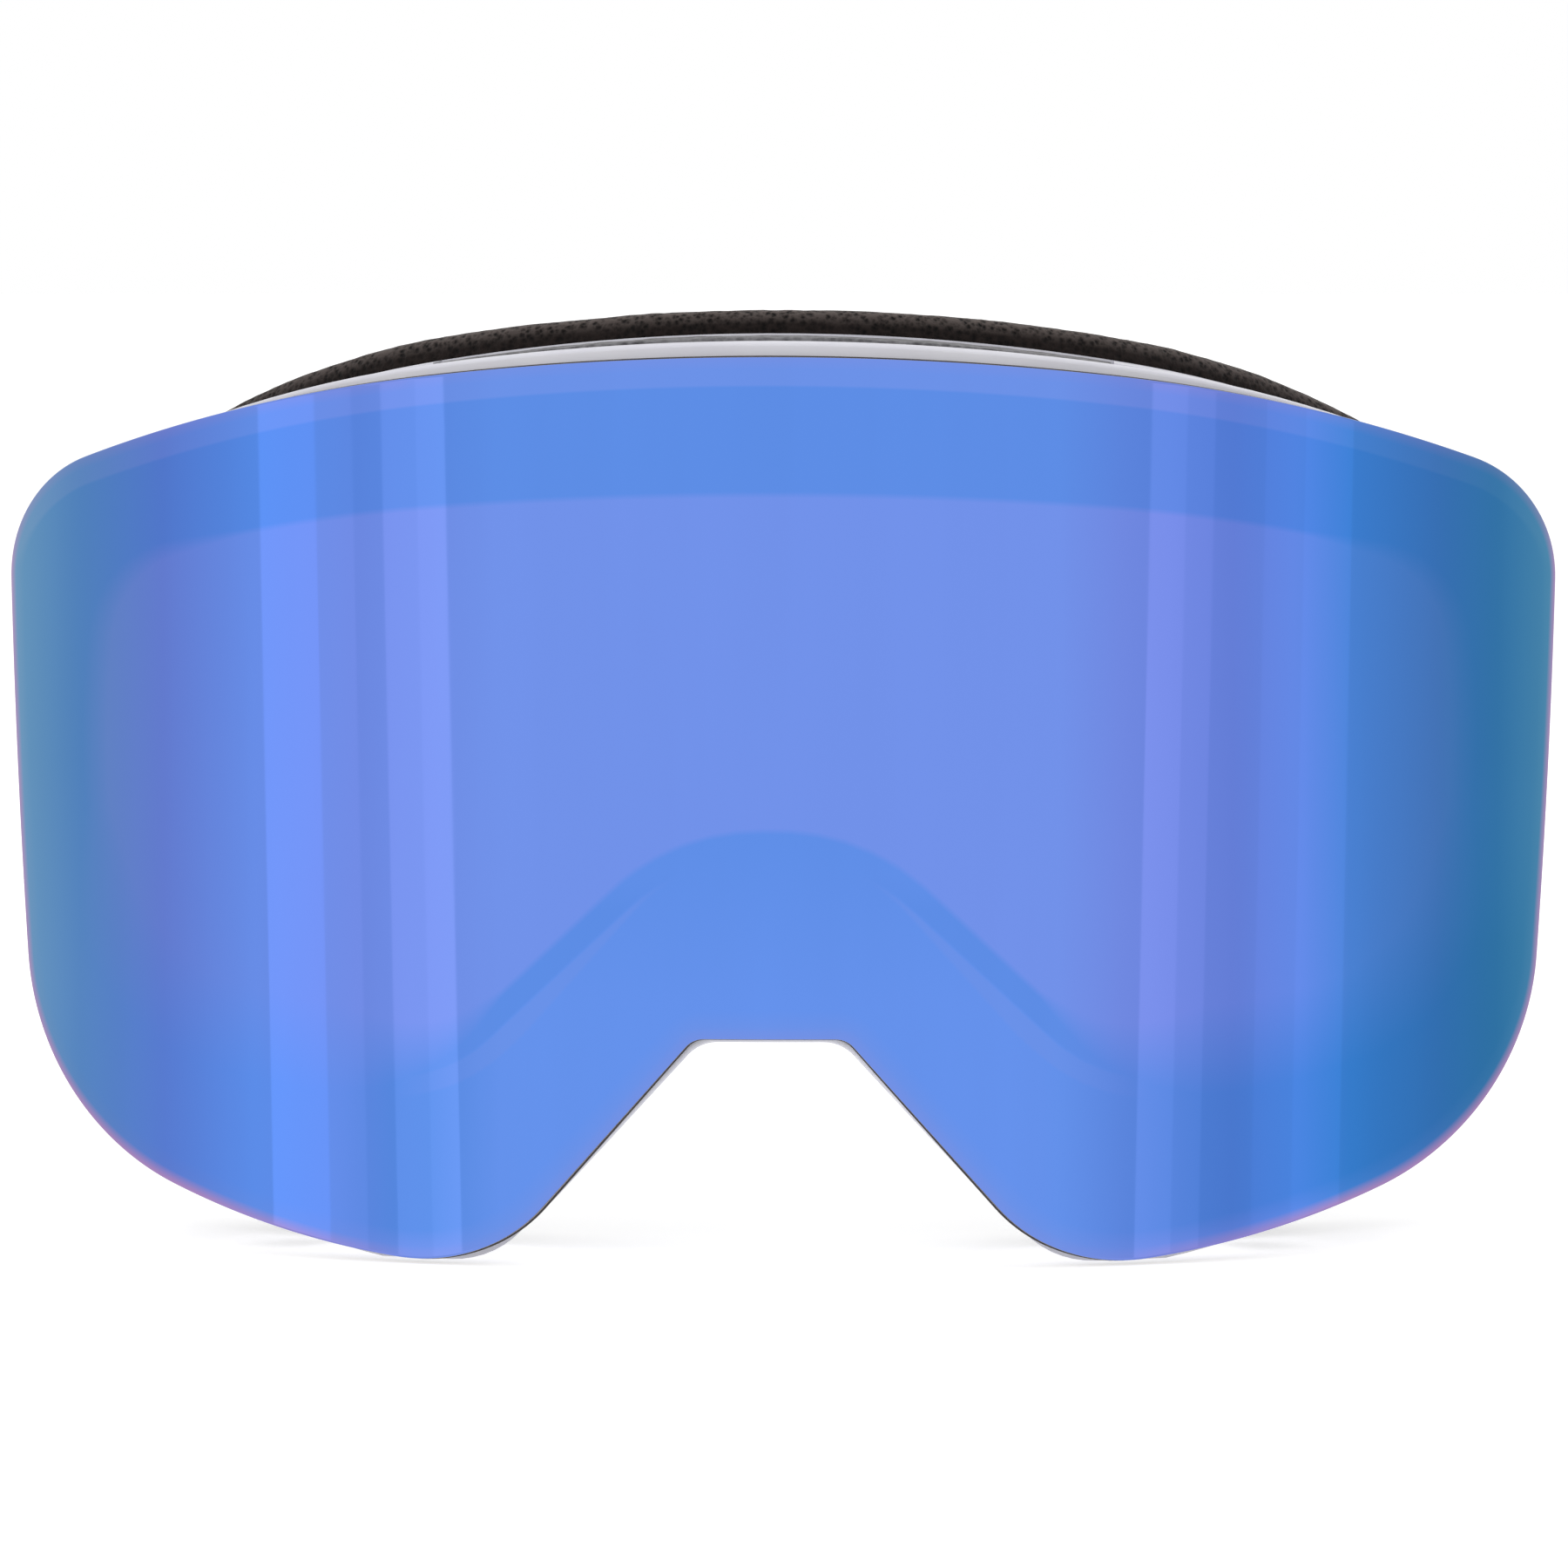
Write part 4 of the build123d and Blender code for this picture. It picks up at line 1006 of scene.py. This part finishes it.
def bend(centre, radius, first, last, step):
    """Points of a bend after its start, and the outward direction at each."""
    count = max(2, math.ceil(abs(last - first) * radius / step))
    turns = first + (last - first) * np.arange(1, count + 1) / count
    out = np.stack([np.cos(turns), np.sin(turns)], 1)
    return centre + out * radius, out


def strap_path(tail, step=1.2):
    """The strap's middle line from above, on the +X side, from its tail's end to the middle plane."""
    fold_start = bar + outward * FOLD_RADIUS
    tail_points = np.array(straight(fold_start + along * tail, fold_start, step))
    parts = [(tail_points, np.tile(-outward, (len(tail_points), 1)))]
    fold_points, fold_out = bend(bar, FOLD_RADIUS, STRAP_ANGLE, STRAP_ANGLE - math.pi, 0.35)
    parts.append((fold_points, -fold_out))
    run = np.array(straight(bar - outward * FOLD_RADIUS, straight_end, step))
    parts.append((run, np.tile(outward, (len(run), 1))))
    parts.append(bend(side_centre, STRAP_BEND, STRAP_ANGLE, SIDE_BEND_END, step))
    parts.append(bend(back_centre, back_bend, SIDE_BEND_END, math.pi / 2, step))
    return np.concatenate([p for p, _ in parts]), np.concatenate([o for _, o in parts])


def mirrored_path(points, out):
    """Carries a path on past the middle plane to its mirror image."""
    return [np.concatenate([half, half[-2::-1] * (-1, 1)]) for half in (points, out)]


def band(name, points, out, profile, height, thickness=None):
    """A flat band along a path at that height: the profile is (thickness, height) about the path."""
    reach = np.concatenate([[0], np.cumsum(np.hypot(*np.diff(points, axis=0).T))])
    scale = np.ones(len(points)) if thickness is None else thickness(reach)
    flat = points[:, None, :] + out[:, None, :] * profile[None, :, :1] * scale[:, None, None]
    tall = np.broadcast_to(profile[None, :, 1:] + height, (*flat.shape[:2], 1))
    sections = np.concatenate([flat, tall], 2)
    piece = skin(name, sections, closed=False)
    layer = piece.data.uv_layers.new(name="along_strap")
    size = len(profile)
    for loop in piece.data.loops:
        row, column = divmod(loop.vertex_index, size)
        layer.data[loop.index].uv = (reach[row] / UV_UNIT, profile[column, 1] / UV_UNIT)
    return piece


HEM = 4.6                    # folded end of each tail
HEM_GAIN = 0.45              # how much thicker it is
HEM_STEP = 0.8               # over which it thins to the plain strap


def hem(reach):
    """The strap's thickness along it, as a share of its plain thickness: more at both folded hems."""
    from_end = np.minimum(reach, reach[-1] - reach)
    return 1 + HEM_GAIN * np.clip((HEM - from_end) / HEM_STEP, 0, 1)


path_points, path_out = mirrored_path(*strap_path(STRAP_TAIL))
profile = pad_profile(STRAP_THICK, STRAP_WIDTH, corner=0.6, crown=0.0, spacing=1.2)
strap = band("strap_webbing_band", path_points, path_out, profile, PIVOT_HEIGHT, hem)
roughen(strap, depth=0.05, size=2.5, seed=30)
dress(strap, webbing_look())
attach(strap, "strap")
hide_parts("strap_band")

# Stitches across the hem of each tail: short bars of thread on its outer face.
STITCH, STITCH_GAP, STITCH_RADIUS = 1.9, 0.75, 0.22
STITCH_SUNK = 0.02
STITCHES = 14
STITCHES_FROM = PIVOT_HEIGHT - 18.2
STITCH_ROWS = (STRAP_TAIL - 1.3, STRAP_TAIL - 3.4)
STITCH_SHAPE = ((0, 0.35), (0.12, 0.85), (0.5, 1.1), (0.88, 0.85), (1, 0.35))
STITCH_SIDES = 8


def stitch(side, foot, low):
    """Points of one upright bar of thread: its shape is (share of its length, share of its radius)."""
    points = []
    for share, girth in STITCH_SHAPE:
        for k in range(STITCH_SIDES):
            turn = 2 * math.pi * k / STITCH_SIDES
            spot = foot + along * math.cos(turn) * STITCH_RADIUS * girth
            spot = spot + outward * (math.sin(turn) * STITCH_RADIUS * girth - STITCH_SUNK)
            points.append((side * spot[0], spot[1], low + share * STITCH))
    return points


stitch_points, stitch_faces = [], []
hem_face = FOLD_RADIUS + STRAP_THICK / 2 * (1 + HEM_GAIN)
for side in (1, -1):
    for row in STITCH_ROWS:
        foot = bar + along * row + outward * hem_face
        for n in range(STITCHES):
            stitch_faces += tube_faces(len(STITCH_SHAPE), STITCH_SIDES, False, start=len(stitch_points))
            stitch_points += stitch(side, foot, STITCHES_FROM + n * (STITCH + STITCH_GAP))
stitches = new_object("strap_hem_stitches", stitch_points, stitch_faces)
dress(stitches, thread)
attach(stitches, "strap")

# Beads of silicone inside the strap's bent part. Their section is a half ellipse sunk in a little.
GRIP_START = math.radians(20)
GRIP_SUNK = 0.2              # radians of the ellipse past its half, at both ends
side_run = bend(side_centre, STRAP_BEND, GRIP_START, SIDE_BEND_END, step=1.5)
back_run = bend(back_centre, back_bend, SIDE_BEND_END, math.pi / 2, step=1.5)
bead_path = mirrored_path(*(np.concatenate(pair) for pair in zip(side_run, back_run)))
turns = np.linspace(-GRIP_SUNK, math.pi + GRIP_SUNK, 12)
bead_depths = -STRAP_THICK / 2 - GRIP_THICK * np.sin(turns)
bead_section = np.stack([bead_depths, GRIP_WIDTH / 2 * np.cos(turns)], 1)
beads = [
    band(f"silicone_bead_{number}", *bead_path, bead_section, PIVOT_HEIGHT + row)
    for number, row in enumerate(GRIP_ROWS)
]
for bead in beads:
    dress(bead, silicone)
    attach(bead, "strap")
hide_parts("silicone_grip")


# ---- vent foam -------------------------------------------
PAD_WIDTH = 15.0             # nominal, front to back


def wall_pad(run, near_inset, far_inset, front_margin, back_margin):
    """Cross-sections of a foam strip along part of the frame's wall, from the bezel to the flange."""
    into = np.gradient(run, axis=0) @ np.array([[0, -1], [1, 0]])
    into /= np.linalg.norm(into, axis=1)[:, None]
    profile = pad_profile(PAD_WIDTH, far_inset - near_inset, corner=0.2, crown=0.0, spacing=0.6)
    profile[:, 1] += (near_inset + far_inset) / 2
    x = run[:, :1] + into[:, :1] * profile[:, 1]
    z = run[:, 1:] + into[:, 1:] * profile[:, 1]
    front = LENS_RADIUS - np.sqrt((BEZEL_BACK - front_margin) ** 2 - x**2)
    rear = FLANGE_DEPTH - back_margin + FACE_RADIUS - np.sqrt(FACE_RADIUS**2 - x**2)
    share = profile[:, 0] / PAD_WIDTH + 0.5
    return np.stack([x, FRONT_Y + front + (rear - front) * share, z], -1)


wall_run = np.array(chain_run(WALL_CHAIN)[0])
roof_run = np.concatenate([wall_run[:0:-1] * (-1, 1), wall_run])
roof_run = roof_run[abs(roof_run[:, 0]) < CHANNEL_HALF - CHANNEL_CLEARANCE]
roof_run = roof_run[roof_run[:, 1] > LENS_MIDDLE]
floor_run = wall_run[(wall_run[:, 0] > LOWER_FOAM_FROM) & (wall_run[:, 0] < LOWER_FOAM_TO)]
floor_run = floor_run[floor_run[:, 1] < LENS_MIDDLE]
pads = {
    "top_vent_foam": wall_pad(roof_run, TOP_FOAM_SUNK, CHANNEL_DEPTH, CHANNEL_CLEARANCE, CHANNEL_LIP),
    "lower_vent_foam_left": wall_pad(
        floor_run, WALL, WALL + LOWER_FOAM_THICK, LOWER_FOAM_MARGIN, LOWER_FOAM_MARGIN
    ),
}
pads["lower_vent_foam_right"] = pads["lower_vent_foam_left"] * (-1, 1, 1)
for node, sections in pads.items():
    pad = skin(node.replace("foam", "foam_pad"), sections, closed=False)
    roughen(pad, depth=0.08, size=3.0, seed=40)
    roughen(pad, depth=0.06, size=1.2, seed=41)
    dress(pad, coarse_foam)
    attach(pad, "frame")
    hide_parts(node)

# ---- looks of the CAD pieces that stay -------------------
kept_looks = {
    "frame_shell": white,
    "lens_magnets": nickel,
    "frame_magnets": nickel,
    "lens_locating_pins": carrier_black,
}
for side in ("left", "right"):
    kept_looks[f"outrigger_{side}"] = black
    kept_looks[f"strap_adjuster_{side}"] = black
    kept_looks[f"pivot_screw_{side}"] = steel
    kept_looks[f"pivot_bushing_{side}"] = steel
    kept_looks[f"friction_washer_{side}"] = acetal
for node, look in kept_looks.items():
    dress(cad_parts[node], look)
